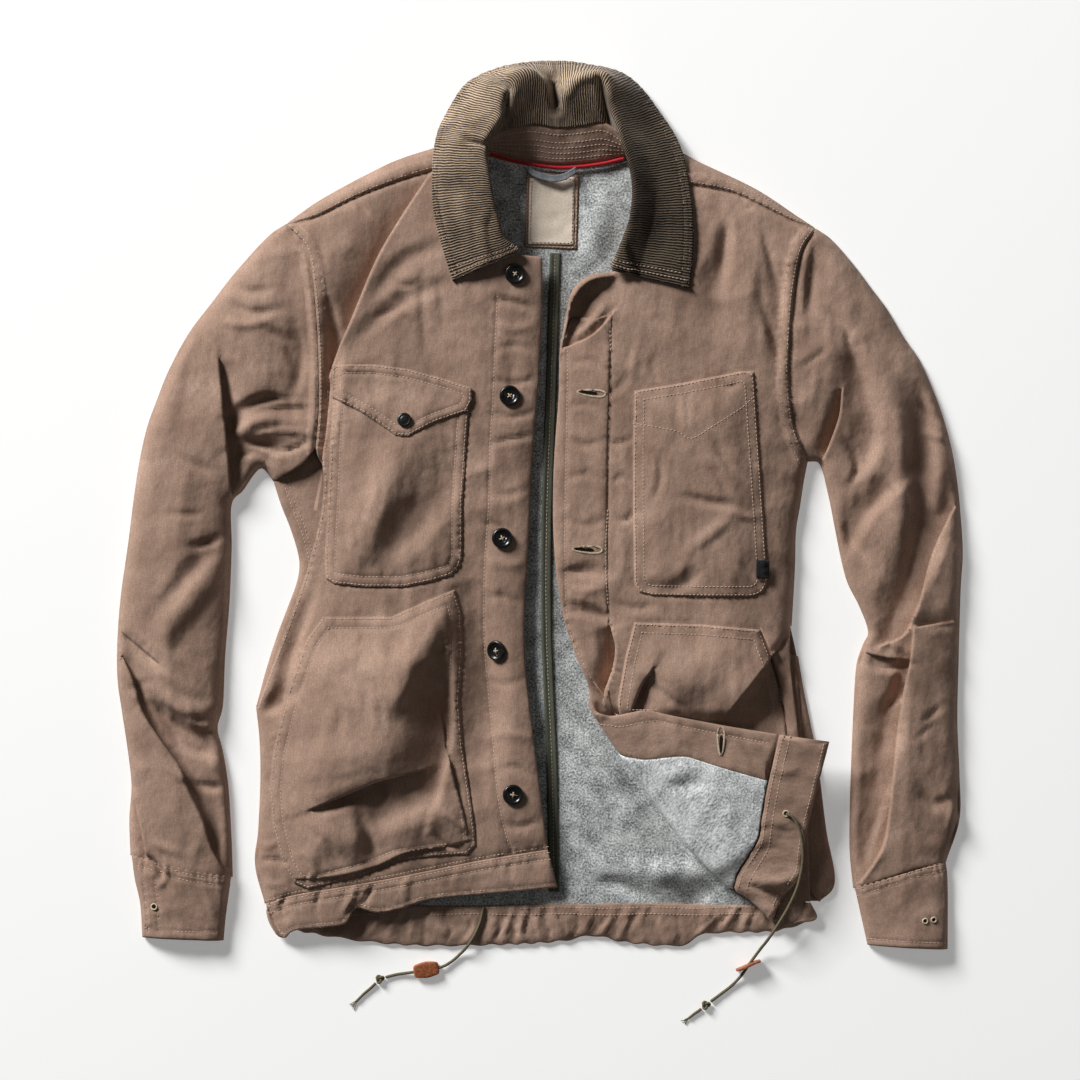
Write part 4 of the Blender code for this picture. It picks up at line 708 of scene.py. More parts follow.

# %% [markdown]
# ## Small relief: creases, puckers and stitch grooves
#
# What makes cloth look sewn is what the thread does to it. A row of stitches pulls a narrow groove, and
# because the thread is a little tighter than the cloth, short waves stand across it on both sides. The
# creases that come from wearing and folding are listed, one row each.

# %% Creases, in the columns of the folds
CREASES = table("""
# right sleeve
-292 206 -268 196 -245 198 -1.8 6 8
-285 186 -262 176 -236 180 -2.4 6 8
-292 168 -270 164 -248 168 2 8 6
-250 160 -232 150 -226 128 -3 9 7
-262 88 -238 93 -215 92 3 5 5
-262 64 -235 68 -206 64 2.4 4 4
-282 62 -262 58 -240 52 -3.5 5 6
-282 44 -262 48 -245 38 -3 4 5
-245 48 -228 50 -212 58 -2.8 4 4
-322 160 -335 110 -345 60 2.2 14 18
-330 45 -312 35 -300 30 -1.6 6 8
-342 -8 -325 -10 -308 -8 -1.5 6 5
-322 -40 -305 -36 -292 -30 -2.6 8 6
-384 -118 -368 -128 -352 -148 -3.2 6 8
-380 -172 -366 -165 -352 -162 -1.2 6 6
-345 -152 -330 -165 -318 -172 1.8 10 8
-352 -186 -345 -198 -332 -218 -4 5 5
-336 -182 -318 -202 -300 -204 3.2 6 7
-350 -228 -335 -248 -320 -254 1.6 6 5
-318 -258 -305 -260 -290 -262 -2.8 7 5
-360 -308 -345 -315 -328 -322 2 7 6
-362 -322 -350 -332 -344 -345 -4.5 4 5
-344 -328 -342 -342 -350 -352 2.5 4 4
# right front above the pocket
-168 282 -160 272 -156 264 -2 3 5
-108 215 -108 180 -106 140 -1.4 9 3
-92 205 -90 185 -88 160 -0.9 5 3
-134 206 -122 199 -110 205 -1.8 5 5
-142 192 -128 178 -116 172 1.6 5 5
-148 172 -132 178 -120 186 -1.6 5 4
# right placket
-42 188 -25 186 -6 180 -2.4 5 6
-40 165 -20 160 -4 166 1.2 6 6
-42 140 -22 146 -6 140 -1.2 5 5
-40 114 -22 110 -4 116 -1.8 5 5
-44 84 -24 80 -4 86 -1.6 4 6
-46 56 -28 60 -6 64 -1.9 3 5
-46 12 -30 8 -12 14 -1.2 5 5
-50 -16 -40 -18 -28 -24 -1.8 3 4
-48 -50 -30 -56 -12 -52 1.2 6 8
-52 -88 -35 -84 -16 -92 -1.2 6 6
-50 -160 -32 -166 -14 -160 -1.3 6 7
-48 -215 -28 -210 -8 -216 1.2 7 6
-40 -245 -24 -240 -6 -250 -1.4 5 6
-36 -290 -20 -296 2 -290 -1.3 5 5
# right chest pocket
-128 60 -142 10 -160 -45 3.2 18 26
-168 20 -160 0 -165 -20 -1.2 5 5
-152 34 -148 12 -154 -6 1.3 5 6
-178 -10 -170 -30 -176 -52 1.2 6 6
# right hand pocket and the hollow beside it
-80 -95 -112 -150 -142 -196 3.6 14 30
-205 -277 -165 -262 -118 -245 -4 8 14
-168 -275 -158 -300 -152 -325 -3.5 9 10
-205 -300 -192 -312 -180 -330 -2.4 6 6
-88 -280 -76 -290 -64 -300 2.4 4 5
-96 -300 -85 -312 -70 -316 -2.4 4 4
-215 -318 -205 -334 -212 -345 1.8 4 4
-168 -132 -160 -120 -166 -108 -1.1 5 5
-190 -165 -180 -190 -186 -215 -1.3 7 8
# right side
-258 -330 -245 -326 -232 -330 -2.4 4 4
-259 -312 -248 -315 -240 -310 1.6 4 4
-256 -345 -244 -350 -232 -346 1.4 4 5
# right hem band
-232 -385 -238 -372 -232 -360 -3.2 4 4
-170 -350 -172 -362 -180 -374 2.8 4 4
-152 -350 -158 -360 -164 -370 -2.8 4 4
-200 -355 -206 -368 -204 -382 -1.4 5 5
-118 -342 -124 -352 -122 -364 1.4 5 5
-80 -336 -84 -346 -78 -358 -1.2 5 5
-30 -326 -34 -338 -28 -350 1 5 5
# left front at the neck
24 172 34 198 68 212 5 14 14
30 150 48 165 62 182 2.4 5 4
172 262 170 240 166 215 -2.2 8 6
186 282 192 271 200 273 -1.2 4 4
206 250 212 225 222 190 -2 6 5
205 185 212 160 222 130 -2.8 7 6
90 145 86 125 84 110 1.2 6 5
108 140 104 125 110 113 -1.1 6 6
# left placket
28 128 45 132 62 122 -1.3 5 5
25 88 45 92 62 84 -1 5 5
25 60 42 54 62 60 -1.1 5 6
24 22 44 28 62 20 -1.1 6 5
25 -14 44 -20 62 -12 -1 5 5
26 -60 42 -62 60 -66 -2.1 4 5
24 -75 42 -80 62 -76 1.2 5 5
26 -97 44 -99 62 -105 -2.5 4 5
68 -90 90 -96 105 -92 -1.8 5 6
# beside the left chest pocket
64 100 74 108 84 120 -1.3 6 5
62 60 72 55 86 62 -1.6 4 5
66 20 76 26 86 18 -1.3 5 5
68 -10 78 -16 88 -6 -1.5 4 5
# left chest pocket
165 112 173 106 182 110 -1.5 4 4
160 60 168 45 180 30 -2.5 7 7
158 35 165 25 172 12 -1.8 7 6
130 8 155 2 182 -2 -2.6 7 7
108 45 112 25 106 5 -1.8 4 5
140 -40 160 -25 174 -12 2 10 8
182 -52 192 -62 200 -72 -1.6 4 4
182 55 192 42 202 36 -1.4 4 4
176 -5 190 -12 204 -8 1.5 4 5
128 -62 136 -50 130 -36 1.1 6 6
# left hand pocket
98 -154 92 -172 86 -192 -3.2 8 6
100 -158 115 -175 136 -190 -2.6 6 6
214 -142 195 -165 172 -190 3 8 24
226 -160 222 -182 228 -205 -2.5 6 8
232 -112 222 -130 212 -136 -2.5 5 5
# left sleeve
262 180 282 160 290 120 -2.4 7 6
240 125 250 132 264 142 -1.6 5 4
350 95 362 80 374 76 -2.6 6 6
352 68 366 62 378 62 1.8 5 5
282 60 294 35 284 16 -3.2 6 6
278 -16 288 -35 302 -50 -3.5 10 8
310 34 330 12 346 -10 2.4 8 8
346 -112 366 -112 386 -110 -2.2 4 6
302 -145 318 -151 342 -146 -3.8 5 6
312 -132 325 -128 340 -136 2.2 4 4
322 -188 330 -178 338 -165 -3.2 8 4
352 -200 362 -192 370 -184 -2 5 5
345 -216 355 -208 364 -200 -1.5 5 5
350 -260 362 -276 382 -268 -2.8 8 10
372 -262 380 -280 374 -300 1.8 4 4
318 -318 304 -336 296 -348 1.6 5 8
""")
CORNER_CREASES = table("""
100 -265 125 -258 152 -255 -1.5 4 6
168 -236 172 -222 178 -208 -1.2 4 4
185 -212 192 -228 200 -242 -1.6 5 5
210 -240 222 -246 238 -240 1.5 6 5
180 -276 186 -300 180 -322 -1.4 6 8
200 -300 212 -296 232 -300 -1.6 4 5
196 -318 210 -314 228 -318 -1.4 4 4
190 -335 205 -345 228 -346 3 5 4
192 -348 208 -358 228 -362 -3 5 5
198 -362 205 -352 215 -350 2 4 4
""")
LINING_CREASES = table("""
66 -344 100 -362 128 -370 -1.6 8 9
100 -350 132 -334 165 -352 3 18 12
26 -260 50 -290 60 -320 -1.2 14 14
40 -215 70 -245 92 -262 1.4 14 10
88 -300 100 -318 104 -338 -1.6 9 12
66 248 76 238 84 232 -1.6 9 9
50 300 58 280 72 262 1.6 14 12
-22 290 -20 262 -14 240 -1.2 8 8
""")
print("creases:", len(CREASES + CORNER_CREASES + LINING_CREASES))

# %% [markdown]
# Seams on work clothes are topstitched twice, because they carry load. A row of stitches is its seam's
# line moved sideways, so that it stays even when the seam bends.

# %% Rows of stitches, as lines on the panels


def traced(points, step=3.0):
    """A closed outline through the points with straight sides, counterclockwise."""
    p = np.array(list(points) + [points[0]], float)
    length = np.concatenate([[0], np.cumsum(np.linalg.norm(np.diff(p, axis=0), axis=1))])
    at = np.union1d(np.arange(0, length[-1], step), length)
    keep = np.concatenate([[True], np.diff(at) > 0.6])
    at = at[keep]
    return outline(np.column_stack([np.interp(at, length, p[:, k]) for k in (0, 1)]))


def row_inside(panel, distance):
    """A row of stitches at one distance inside a closed outline, as a closed line."""
    edge = np.array(panel + panel[:1])
    row = inset(panel, distance)
    row = row[nearest(*row.T, edge)[0] > 0.93 * distance]
    return run(np.vstack([row[::2], row[:1]]), 4.0)


def beside(line, *distances, step=4.0):
    """Rows of stitches beside a seam, to its left, or to its right where a distance is negative."""
    return [inset(run(line, step), d, closed=False) for d in distances]


RIGHT_POCKET_EDGE, RIGHT_HAND_EDGE, FLAP_EDGE = (
    traced(corners) for corners in (RIGHT_CHEST_POCKET, RIGHT_HAND_POCKET, CHEST_FLAP)
)
LEFT_POCKET_EDGE, LEFT_HAND_EDGE = traced(LEFT_CHEST_POCKET), traced(LEFT_HAND_POCKET)

RIGHT_PLACKET_ROW = run([
    (-38, 190), (-40, 150), (-42, 100), (-45, 50), (-46, 0), (-50, -60), (-50, -130), (-42, -220), (-38, -265),
    (-31, -300), (-24, -322),
], 4.0)
LEFT_PLACKET_ROW = run([
    (65, 170), (66, 100), (64, 50), (63, 0), (61, -50), (64, -100), (69, -130), (70, -260), (72, -350),
], 4.0)
LEFT_EDGE_ROW = run([
    (26, 140), (26, 100), (24, 0), (24, -50), (27, -110), (44, -160), (45, -200), (44, -250), (38, -350),
], 4.0)

BODY_ROWS = {
    "right_front": [
        RIGHT_PLACKET_ROW, *beside(RIGHT_ARMHOLE, 2.0, 8.0), *beside(RIGHT_FRONT_SIDE, 2.0),
        *beside(RIGHT_HEM_SEAM, 2.5),
    ],
    "right_yoke": beside(RIGHT_SHOULDER_SEAM, -2.0, -8.0),
    "right_hem": [*beside(RIGHT_HEM_SEAM, -3.0, -9.0), *beside(RIGHT_HEM_EDGE, 3.5)],
    "left_front": [LEFT_PLACKET_ROW, LEFT_EDGE_ROW, *beside(LEFT_ARMHOLE, -2.0, -8.0)],
    "left_yoke": beside(LEFT_SHOULDER_SEAM, 2.0, 8.0),
}
POCKET_ROWS = {
    "right_chest": [row_inside(RIGHT_POCKET_EDGE, 2.0), row_inside(RIGHT_POCKET_EDGE, 9.5)],
    "right_hand": [row_inside(RIGHT_HAND_EDGE, 2.0), row_inside(RIGHT_HAND_EDGE, 10.5)],
    "flap": [row_inside(FLAP_EDGE, 1.8), row_inside(FLAP_EDGE, 8.0)],
    "left_chest": [
        row_inside(LEFT_POCKET_EDGE, 2.0), row_inside(LEFT_POCKET_EDGE, 9.5),
        run([(87, 74), (110, 70), (128, 66), (139, 60), (160, 72), (185, 88), (195, 97)], 4.0),
    ],
    "left_hand": [row_inside(LEFT_HAND_EDGE, 2.0), row_inside(LEFT_HAND_EDGE, 9.5)],
}
print("rows of stitches:", sum(len(rows) for rows in [*BODY_ROWS.values(), *POCKET_ROWS.values()]))

# %% The relief function


def crumple(x, y):
    """Low, irregular waves that washed duck has everywhere, sharper along their tops."""
    u = x + 16 * (mottle(x, y, 60, 1) - 0.5)
    v = y + 16 * (mottle(x, y, 60, 2) - 0.5)
    broad = mottle(u, v * 0.75, 46, 3) - 0.5
    ridged = 0.5 - np.abs(2 * mottle(u * 1.1, v * 0.8, 27, 4) - 1)
    narrow = 0.5 - np.abs(2 * mottle(u * 1.2, v * 0.5 + 0.3 * u, 13, 7) - 1)
    fine = mottle(x, y * 0.8, 11, 5) - 0.5
    return 2.6 * broad + 2.6 * ridged * mottle(x, y, 90, 6) + 1.5 * narrow * mottle(x, y, 75, 8) + 0.6 * fine


def stitched(x, y, rows):
    """Grooves under rows of stitches, and the puckers that stand across them."""
    total = np.zeros(np.shape(x))
    for number, line in enumerate(rows):
        d, side, along = nearest(x, y, line, 14.0)
        pitch = 6.0 + 1.5 * math.sin(2.4 * number)
        phase = 2 * math.pi * along / pitch + 2.6 * np.sin(along / 29.0 + number) + 1.9 * np.sin(along / 11.7)
        wave = np.sin(phase + 0.22 * d * side) * (0.5 + 0.5 * np.sin(along / 41.0 + 2 * number))
        total += np.where(d < 14, 0.55 * wave * np.exp(-((d / 5.0) ** 2)) - 0.8 * np.exp(-((d / 1.2) ** 2)), 0)
    return total


def felled(x, y):
    """The double thickness of the felled seams at armholes and shoulders: a flat strip 9 mm wide."""
    total = np.zeros(np.shape(x))
    hands = ((RIGHT_ARMHOLE, 1), (LEFT_ARMHOLE, -1), (RIGHT_SHOULDER_SEAM, -1), (LEFT_SHOULDER_SEAM, 1))
    for line, hand in hands:
        d, side, along = nearest(x, y, run(line), 14.0)
        over = d * side * hand
        total += np.where(d < 14, smooth_step((over + 0.6) / 1.2) * (1 - smooth_step((over - 9.2) / 1.4)), 0)
        total -= np.where(d < 14, 1.1 * np.exp(-(((over + 1.2) / 1.6) ** 2)), 0)
    return 1.5 * total


def relief(x, y, rows):
    return 1.3 * folds_at(x, y, CREASES) + crumple(x, y) + stitched(x, y, rows) + felled(x, y)


def laid(rows, lift=0.0):
    """A rule that lays a panel on the dome with its relief: w is the depth below its outer face."""

    def place(x, y, w=0.0):
        extra = lift(x, y) if callable(lift) else lift
        keep = smooth_step(to_side(x, y) / 8)
        z = upper(x, y) + relief(x, y, rows) * keep + extra - w
        return np.column_stack([x, y, np.maximum(z, 2.3)])

    return place


def height_of(place):
    """The height alone of what a rule lays."""
    return lambda x, y: place(x, y)[:, 2]


print("relief at the chest:", relief(np.array([-130.0]), np.array([40.0]), []).round(2), "mm")

# %% [markdown]
# ## Cutting and sewing a panel
#
# A panel is cut flat: its outline, rings of points just inside it so that the edge can round off, rows
# of points under the stitches so that the grooves are sharp, and an even grid between. A Delaunay
# triangulation joins them. The points then go to their places, and a Solidify modifier gives the cloth
# its thickness.

# %% Cutting


def cut(panel, rows=(), grid=3.4, lines=(), rings=(1.2, 2.8)):
    """Cuts a panel flat: its points, and its triangles."""
    edge = np.array(panel, float)
    closed = np.vstack([edge, edge[:1]])
    low, high = edge.min(0), edge.max(0)
    x, y = [], []
    for number, level in enumerate(np.arange(low[1], high[1], grid * 0.87)):
        steps = np.arange(low[0] + (number % 2) * grid / 2, high[0], grid)
        x.append(steps)
        y.append(np.full(len(steps), level))
    x, y = np.concatenate(x), np.concatenate(y)
    keep = inside(x, y, panel) & (nearest(x, y, closed)[0] > (max(rings) if rings else 0) + 0.5 * grid)
    extra = [inset(edge, ring) for ring in rings]
    for row in rows:
        if len(row) < 2:
            continue
        extra += [inset(row, offset, closed=False) for offset in (-1.5, 0.0, 1.5)]
        keep &= nearest(x, y, row, 4.0)[0] > 1.5 + 0.45 * grid
    for line in lines:
        keep &= nearest(x, y, line, 4.0)[0] > 0.45 * grid
    points = [np.column_stack([x[keep], y[keep]])]
    for ring in [*lines, *extra]:
        px, py = ring.T
        fits = inside(px, py, panel) & (nearest(px, py, closed)[0] > 0.7)
        points.append(ring[fits])
    free = np.vstack(points)
    cells = np.unique(np.round(free / 0.8).astype(int), axis=0, return_index=True)[1]
    free = free[np.sort(cells)]
    flat = [Vector(p) for p in np.vstack([edge, free])]
    result = geometry.delaunay_2d_cdt(flat, [], [list(range(len(edge)))], 1, 1e-5)
    xy = np.array([tuple(v) for v in result[0]])
    triangles = np.array([f for f in result[2]])
    a, b, c = (xy[triangles[:, k]] for k in range(3))
    turned = (b[:, 0] - a[:, 0]) * (c[:, 1] - a[:, 1]) < (b[:, 1] - a[:, 1]) * (c[:, 0] - a[:, 0])
    triangles[turned] = triangles[turned][:, ::-1]
    return xy, triangles


print("a flap is cut into", len(cut(FLAP_EDGE)[1]), "triangles")

# %% [markdown]
# Every piece ends in the same way: a mesh in millimetres becomes an object, which rides on the jacket's
# one body in the place of its solid.

# %% Helpers for pieces


def mesh_object(name, points, faces, finish=None, edges=()):
    """An object from points in millimetres, shaded smooth."""
    mesh = bpy.data.meshes.new(name)
    mesh.from_pydata(np.asarray(points, float).reshape(-1, 3) * MM, edges, faces)
    mesh.polygons.foreach_set("use_smooth", np.ones(len(mesh.polygons), bool))
    if finish:
        mesh.materials.append(finish)
    made = bpy.data.objects.new(name, mesh)
    bpy.context.scene.collection.objects.link(made)
    return made


def put(piece, slot, *nodes):
    """Rides a piece on the body, and hides the solids that it stands for."""
    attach(piece, "root")
    if nodes:
        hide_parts(*nodes)


# %% [markdown]
# A rolled side edge, such as a sleeve's fold, is not a cut edge: there the cloth turns under towards the
# table. A skirt of a few more points carries it down.

# %% Sewing
SKIRT = [(0.8, 0.78), (1.3, 0.52), (1.1, 0.26), (0.2, 0.07)]  # outwards in mm, share of the height
STITCHED = []  # every row of stitches, as points on the cloth


def sew(rows, place, panel, depth=-0.12):
    """Keeps the part of each row that lies on a panel, at its height, for the stitches made below."""
    for row in rows:
        x, y = row.T
        on = inside(x, y, panel)
        points = place(x, y, depth)
        start = None
        for k in range(len(row) + 1):
            if k < len(row) and on[k]:
                start = k if start is None else start
            elif start is not None:
                if k - start > 2:
                    STITCHED.append(points[start:k])
                start = None


def shell(name, points, faces, flat, finish, thickness):
    """A skin of cloth with a thickness behind it. flat holds each point's place on the flat cut."""
    made = mesh_object(name, points, faces, finish)
    mesh = made.data
    uv = mesh.uv_layers.new(name="pattern")
    corners = np.zeros(len(mesh.loops), int)
    mesh.loops.foreach_get("vertex_index", corners)
    uv.data.foreach_set("uv", (np.asarray(flat)[corners] * MM).ravel())
    solidify = made.modifiers.new("thickness", "SOLIDIFY")
    solidify.thickness = thickness * MM
    solidify.offset = -1.0
    return made


def dress(made, node_name, slot, size, area=None, held="laid"):
    put(made, slot, node_name)
    width, length = (float(side) for side in size)
    area = width * length if area is None else max(area, 0.3 * width * length)
    cut_size = f"{width:.3f} x {length:.3f} m"
    print(f"{made.name}: {len(made.data.polygons)} faces, {area * 1e4:.0f} cm2 of cloth, cut {cut_size}")


def turned_under(xy, points, faces, edges):
    """Adds the skirt along some edges of a panel: its points, its flat points and its faces."""
    directed = {(f[i], f[(i + 1) % 3]) for f in faces for i in range(3)}
    border = [(a, b) for a, b in directed if (b, a) not in directed]
    middles = np.array([(xy[a] + xy[b]) / 2 for a, b in border])
    near = np.minimum.reduce([nearest(*middles.T, line)[0] for line in edges]) < 1.2
    border = [pair for pair, chosen in zip(border, near) if chosen]
    out = {}
    for a, b in border:
        along = (xy[b] - xy[a]) / np.linalg.norm(xy[b] - xy[a])
        for i in (a, b):
            out[i] = out.get(i, 0) + np.array([along[1], -along[0]])
    index = {i: [i] for i in out}
    more, more_flat = [], []
    for i, normal in out.items():
        normal = normal / np.linalg.norm(normal)
        for reach, share in SKIRT:
            index[i].append(len(points) + len(more))
            more_flat.append(xy[i] + normal * (reach + 5 * (1 - share)))
            more.append([*(xy[i] + normal * reach), max(0.3, points[i][2] * share)])
    extra = [
        (index[b][k], index[a][k], index[a][k + 1], index[b][k + 1])
        for a, b in border for k in range(len(SKIRT))
    ]
    return np.vstack([points, more]), np.vstack([xy, more_flat]), faces + extra


def cloth(
    name, panel, place, rows=(), sewn=None, solid=None, finish=None, slot="canvas", thickness=1.6,
    grid=3.4, rim=0.9, skirts=(), lines=(), flip=False, held="laid",
):
    """One panel, cut flat, laid in its place, dressed over its solid, and sewn along its rows."""
    xy, triangles = cut(panel, rows, grid, [*lines, *LEDGE_LINES] if grid < 4 else lines)
    x, y = xy.T
    d = nearest(x, y, np.array(panel + panel[:1]))[0]
    points = place(x, y, rim * (1 - smooth_step(d / 2.8)) ** 1.5)
    if grid < 4 and held != "gathered":
        points[:, :2] += leaning(x, y) * (d > 3)[:, None]
    faces, flat = [tuple(int(i) for i in f) for f in triangles], xy
    if skirts:
        points, flat, faces = turned_under(xy, points, faces, [run(line) for line in skirts])
    if flip:
        faces = [f[::-1] for f in faces]
    made = shell(f"{name}_shell", points, faces, flat, finish or canvas, thickness)
    a, b, c = (xy[triangles[:, k]] for k in range(3))
    ab, ac = b - a, c - a
    area = 0.5 * np.abs(ab[:, 0] * ac[:, 1] - ab[:, 1] * ac[:, 0]).sum() * MM * MM
    dress(made, solid or name, slot, (xy.max(0) - xy.min(0)) * MM, area, held)
    sew(rows if sewn is None else sewn, place, panel)
    return place


# %% [markdown]
# ## Cloth finishes
#
# **Washed cotton duck** is a dense plain weave, piece dyed and then washed, so its colour is a little
# lighter on high threads and mottled over a hand's width. Its threads are about half a millimetre, too
# fine for a full view, so the grain is drawn near one millimetre.

# %% Washed cotton duck


def duck(name, dark, middle, light):
    made, tree, shader = material(
        name, Roughness=0.86, Specular_IOR_Level=0.25, Sheen_Weight=0.12, Sheen_Roughness=0.5
    )
    where = pattern_map(tree)
    slub, crush = (
        node(tree, "ShaderNodeMapping", {}, {"Vector": where, "Scale": scale}).outputs["Vector"]
        for scale in ((820.0, 130.0, 1.0), (62.0, 44.0, 1.0))
    )
    fine = mixed(tree, 0.28, noise(tree, where, 780, 3, 0.7), noise(tree, slub, 1, 2))
    faded = mixed(tree, 0.42, fine, noise(tree, where, 17, 4, 0.6))
    soft = bumped(tree, 0.6, 0.003, noise(tree, crush, 1, 2.5))
    colour = ramp(tree, faded, [(0.3, dark), (0.5, middle), (0.7, light)])
    coat(tree, shader, colour, bumped(tree, 0.4, 0.0004, fine, Normal=soft))
    return made


canvas = duck("washed_cotton_duck", "#735a4b", "#9b7f6e", "#c4a592")
print("finish:", canvas.name)

# %% [markdown]
# **Speckled fleece** is spun from light and dark fibres, then brushed, so close up it is a salt-and-pepper
# cloud with no gloss. Two noises give the flecks and the nap, and sheen gives the soft rim of brushed wool.

# %% Speckled fleece


def speckled(name, *stops):
    made, tree, shader = material(
        name, Roughness=1.0, Specular_IOR_Level=0.1, Sheen_Weight=0.25, Sheen_Roughness=0.7
    )
    where = pattern_map(tree)
    flecks = noise(tree, where, 520, 4, 0.8)
    colour = ramp(tree, mixed(tree, 0.25, flecks, noise(tree, where, 60, 3)), stops)
    coat(tree, shader, colour, bumped(tree, 0.8, 0.001, flecks))
    return made


fleece = speckled(
    "brushed_wool_blend", (0.39, "#4c4f4f"), (0.47, "#999c9b"), (0.54, "#d0d3d1"), (0.62, "#f8f9f6"),
)
# on the turned corner the same fleece is painted lighter: a lit copy of it, as painted light
painted_light_fleece = speckled(
    "wool_blend_painted_light", (0.37, "#656868"), (0.46, "#b4b7b6"), (0.54, "#e6e9e7"), (0.62, "#ffffff"),
)
print("finishes:", fleece.name, painted_light_fleece.name)

# %% [markdown]
# ** Corduroy** has a pile cut into ribs, called wales, here about two millimetres apart. The colour is
# painted lighter on the tops, as a painted highlight, and nearly black brown in the channels between them,
# as painted shade. The left leaf is painted darker still, as painted shade, and the back of the collar is
# painted lighter. The wales run across the collar, so the pattern follows the collar's own length, which
# its UV map holds in metres.

# %% Corduroy
WALE = 0.0023
corduroy, tree, shader = material(
    "cotton_corduroy", Roughness=0.9, Specular_IOR_Level=0.2, Sheen_Weight=0.3, Sheen_Roughness=0.4
)
where = pattern_map(tree)
bands = {"wave_type": "BANDS", "bands_direction": "X", "wave_profile": "SIN"}
ribs = node(tree, "ShaderNodeTexWave", bands, {
    "Vector": where, "Scale": 2 * math.pi / 20 / WALE, "Distortion": 3.0, "Detail": 2.0,
    "Detail Scale": 0.8,
})
height = mixed(tree, 0.36, ribs.outputs["Fac"], noise(tree, where, 420, 3))
shade = mixed(tree, 0.42, height, noise(tree, where, 34, 5))
# painted shade in the channels between the wales, and a painted highlight on their tops
colour = ramp(tree, shade, [(0.3, "#1e1712"), (0.5, "#645344"), (0.7, "#b39e86")])
place = node(tree, "ShaderNodeTexCoord").outputs["Object"]
axes = node(tree, "ShaderNodeSeparateXYZ", {}, {"Vector": place}).outputs
# painted shade: the left leaf is darkened through the colour's Value, and the back of the collar painted
# lighter
leaf, back = (
    node(tree, "ShaderNodeMapRange", {"interpolation_type": "SMOOTHSTEP"}, {
        "Value": axes[axis], "From Min": start, "From Max": end, "To Min": first, "To Max": last,
    }).outputs["Result"]
    for axis, start, end, first, last in (("X", 0.05, 0.085, 1.0, 0.42), ("Y", 0.3, 0.35, 0.94, 1.35))
)
value = node(tree, "ShaderNodeMath", {"operation": "MULTIPLY"}, {0: leaf, 1: back}).outputs["Value"]
painted_shading = node(tree, "ShaderNodeHueSaturation", {}, {"Color": colour, "Value": value})
coat(tree, shader, painted_shading.outputs["Color"], bumped(tree, 1.0, 0.0009, height))
print("finish:", corduroy.name)

# %% [markdown]
# The small things: spun polyester thread a shade lighter than the duck, resin buttons, a vegetable-tanned
# leather, a braided cotton cord, a satin piping, twill tape and plain label cotton.

# %% Finishes of the trims


def plain(name, dark, light, roughness, scale, depth):
    """A finish with a fine two-tone grain, for small things. scale is in grains a metre."""
    made, tree, shader = material(name, Roughness=roughness)
    where = node(tree, "ShaderNodeTexCoord").outputs["Object"]
    grain = noise(tree, where, scale, 3)
    coat(tree, shader, ramp(tree, grain, [(0.35, dark), (0.65, light)]), bumped(tree, 0.5, depth, grain))
    return made


thread = plain("spun_polyester_thread", "#b09584", "#cdb39f", 0.7, 900, 0.0001)
pale_thread = plain("pale_buttonhole_twist", "#b3a187", "#d6c6ae", 0.6, 900, 0.0001)
resin = plain("dark_horn_resin", "#0e0f10", "#1b1a19", 0.28, 300, 0.00004)
enamel = plain("black_enamelled_cap", "#111111", "#1c1c1c", 0.35, 300, 0.00003)
leather = plain("vegetable_tanned_leather", "#7a3f24", "#a8633c", 0.5, 500, 0.0002)
braid_finish = plain("braided_cotton", "#4d4634", "#776d54", 0.85, 1400, 0.0002)
satin = plain("corded_satin", "#a31220", "#cf2331", 0.45, 1200, 0.0001)
twill = plain("olive_twill_tape", "#474a3d", "#5f6353", 0.85, 1100, 0.0003)
label_cotton = plain("unprinted_label_cotton", "#dccab6", "#eee0ce", 0.85, 700, 0.0002)
black_weave = plain("black_label_weave", "#141313", "#242222", 0.8, 900, 0.0002)
grey_tape = plain("grey_herringbone_tape", "#6f7377", "#8f9397", 0.85, 700, 0.0003)
print("trims:", len(bpy.data.materials), "finishes in all")

# %% [markdown]
# ## Drawcords
#
# The cord is braided from eight strands, so its surface is two sets of ridges that spiral against each
# other. Each cord leaves an eyelet, runs through a leather toggle, and ends in an overhand knot and a
# short frayed tail.

# %% Cords


def tube_faces(rings, n):
    """Faces between rings of n points each, closed round the tube."""
    return [
        (k * n + i, k * n + (i + 1) % n, (k + 1) * n + (i + 1) % n, (k + 1) * n + i)
        for k in range(rings - 1) for i in range(n)
    ]


def tube_mesh(name, line, radius, finish, sides=16, braid=0.0, lay_length=6.0):
    """A closed tube along a line in mm. braid raises two spirals of ridges on it."""
    line = np.asarray(line, float)
    tangent = np.gradient(line, axis=0)
    tangent /= np.linalg.norm(tangent, axis=1)[:, None]
    side = np.cross(tangent, [0.0, 0.0, 1.0])
    side /= np.maximum(np.linalg.norm(side, axis=1), 1e-9)[:, None]
    up = np.cross(side, tangent)
    along = np.concatenate([[0], np.cumsum(np.linalg.norm(np.diff(line, axis=0), axis=1))])[:, None]
    turn = np.linspace(0, 2 * math.pi, sides, endpoint=False)[None, :]
    twist = 2 * math.pi * along / lay_length
    ridge = np.maximum(np.cos(4 * (turn + twist)), np.cos(4 * (turn - twist)))
    reach = np.broadcast_to(np.asarray(radius, float), (len(line),))[:, None] * (1 + braid * (ridge - 0.5))
    points = line[:, None, :] + reach[..., None] * (
        np.cos(turn)[..., None] * side[:, None, :] + np.sin(turn)[..., None] * up[:, None, :]
    )
    points = np.vstack([points.reshape(-1, 3), line[:1] - tangent[:1] * 0.3, line[-1:] + tangent[-1:] * 0.3])
    first, last, base = len(points) - 2, len(points) - 1, (len(line) - 1) * sides
    faces = tube_faces(len(line), sides)
    faces += [(first, (i + 1) % sides, i) for i in range(sides)]
    faces += [(last, base + i, base + (i + 1) % sides) for i in range(sides)]
    return mesh_object(name, points, faces, finish)


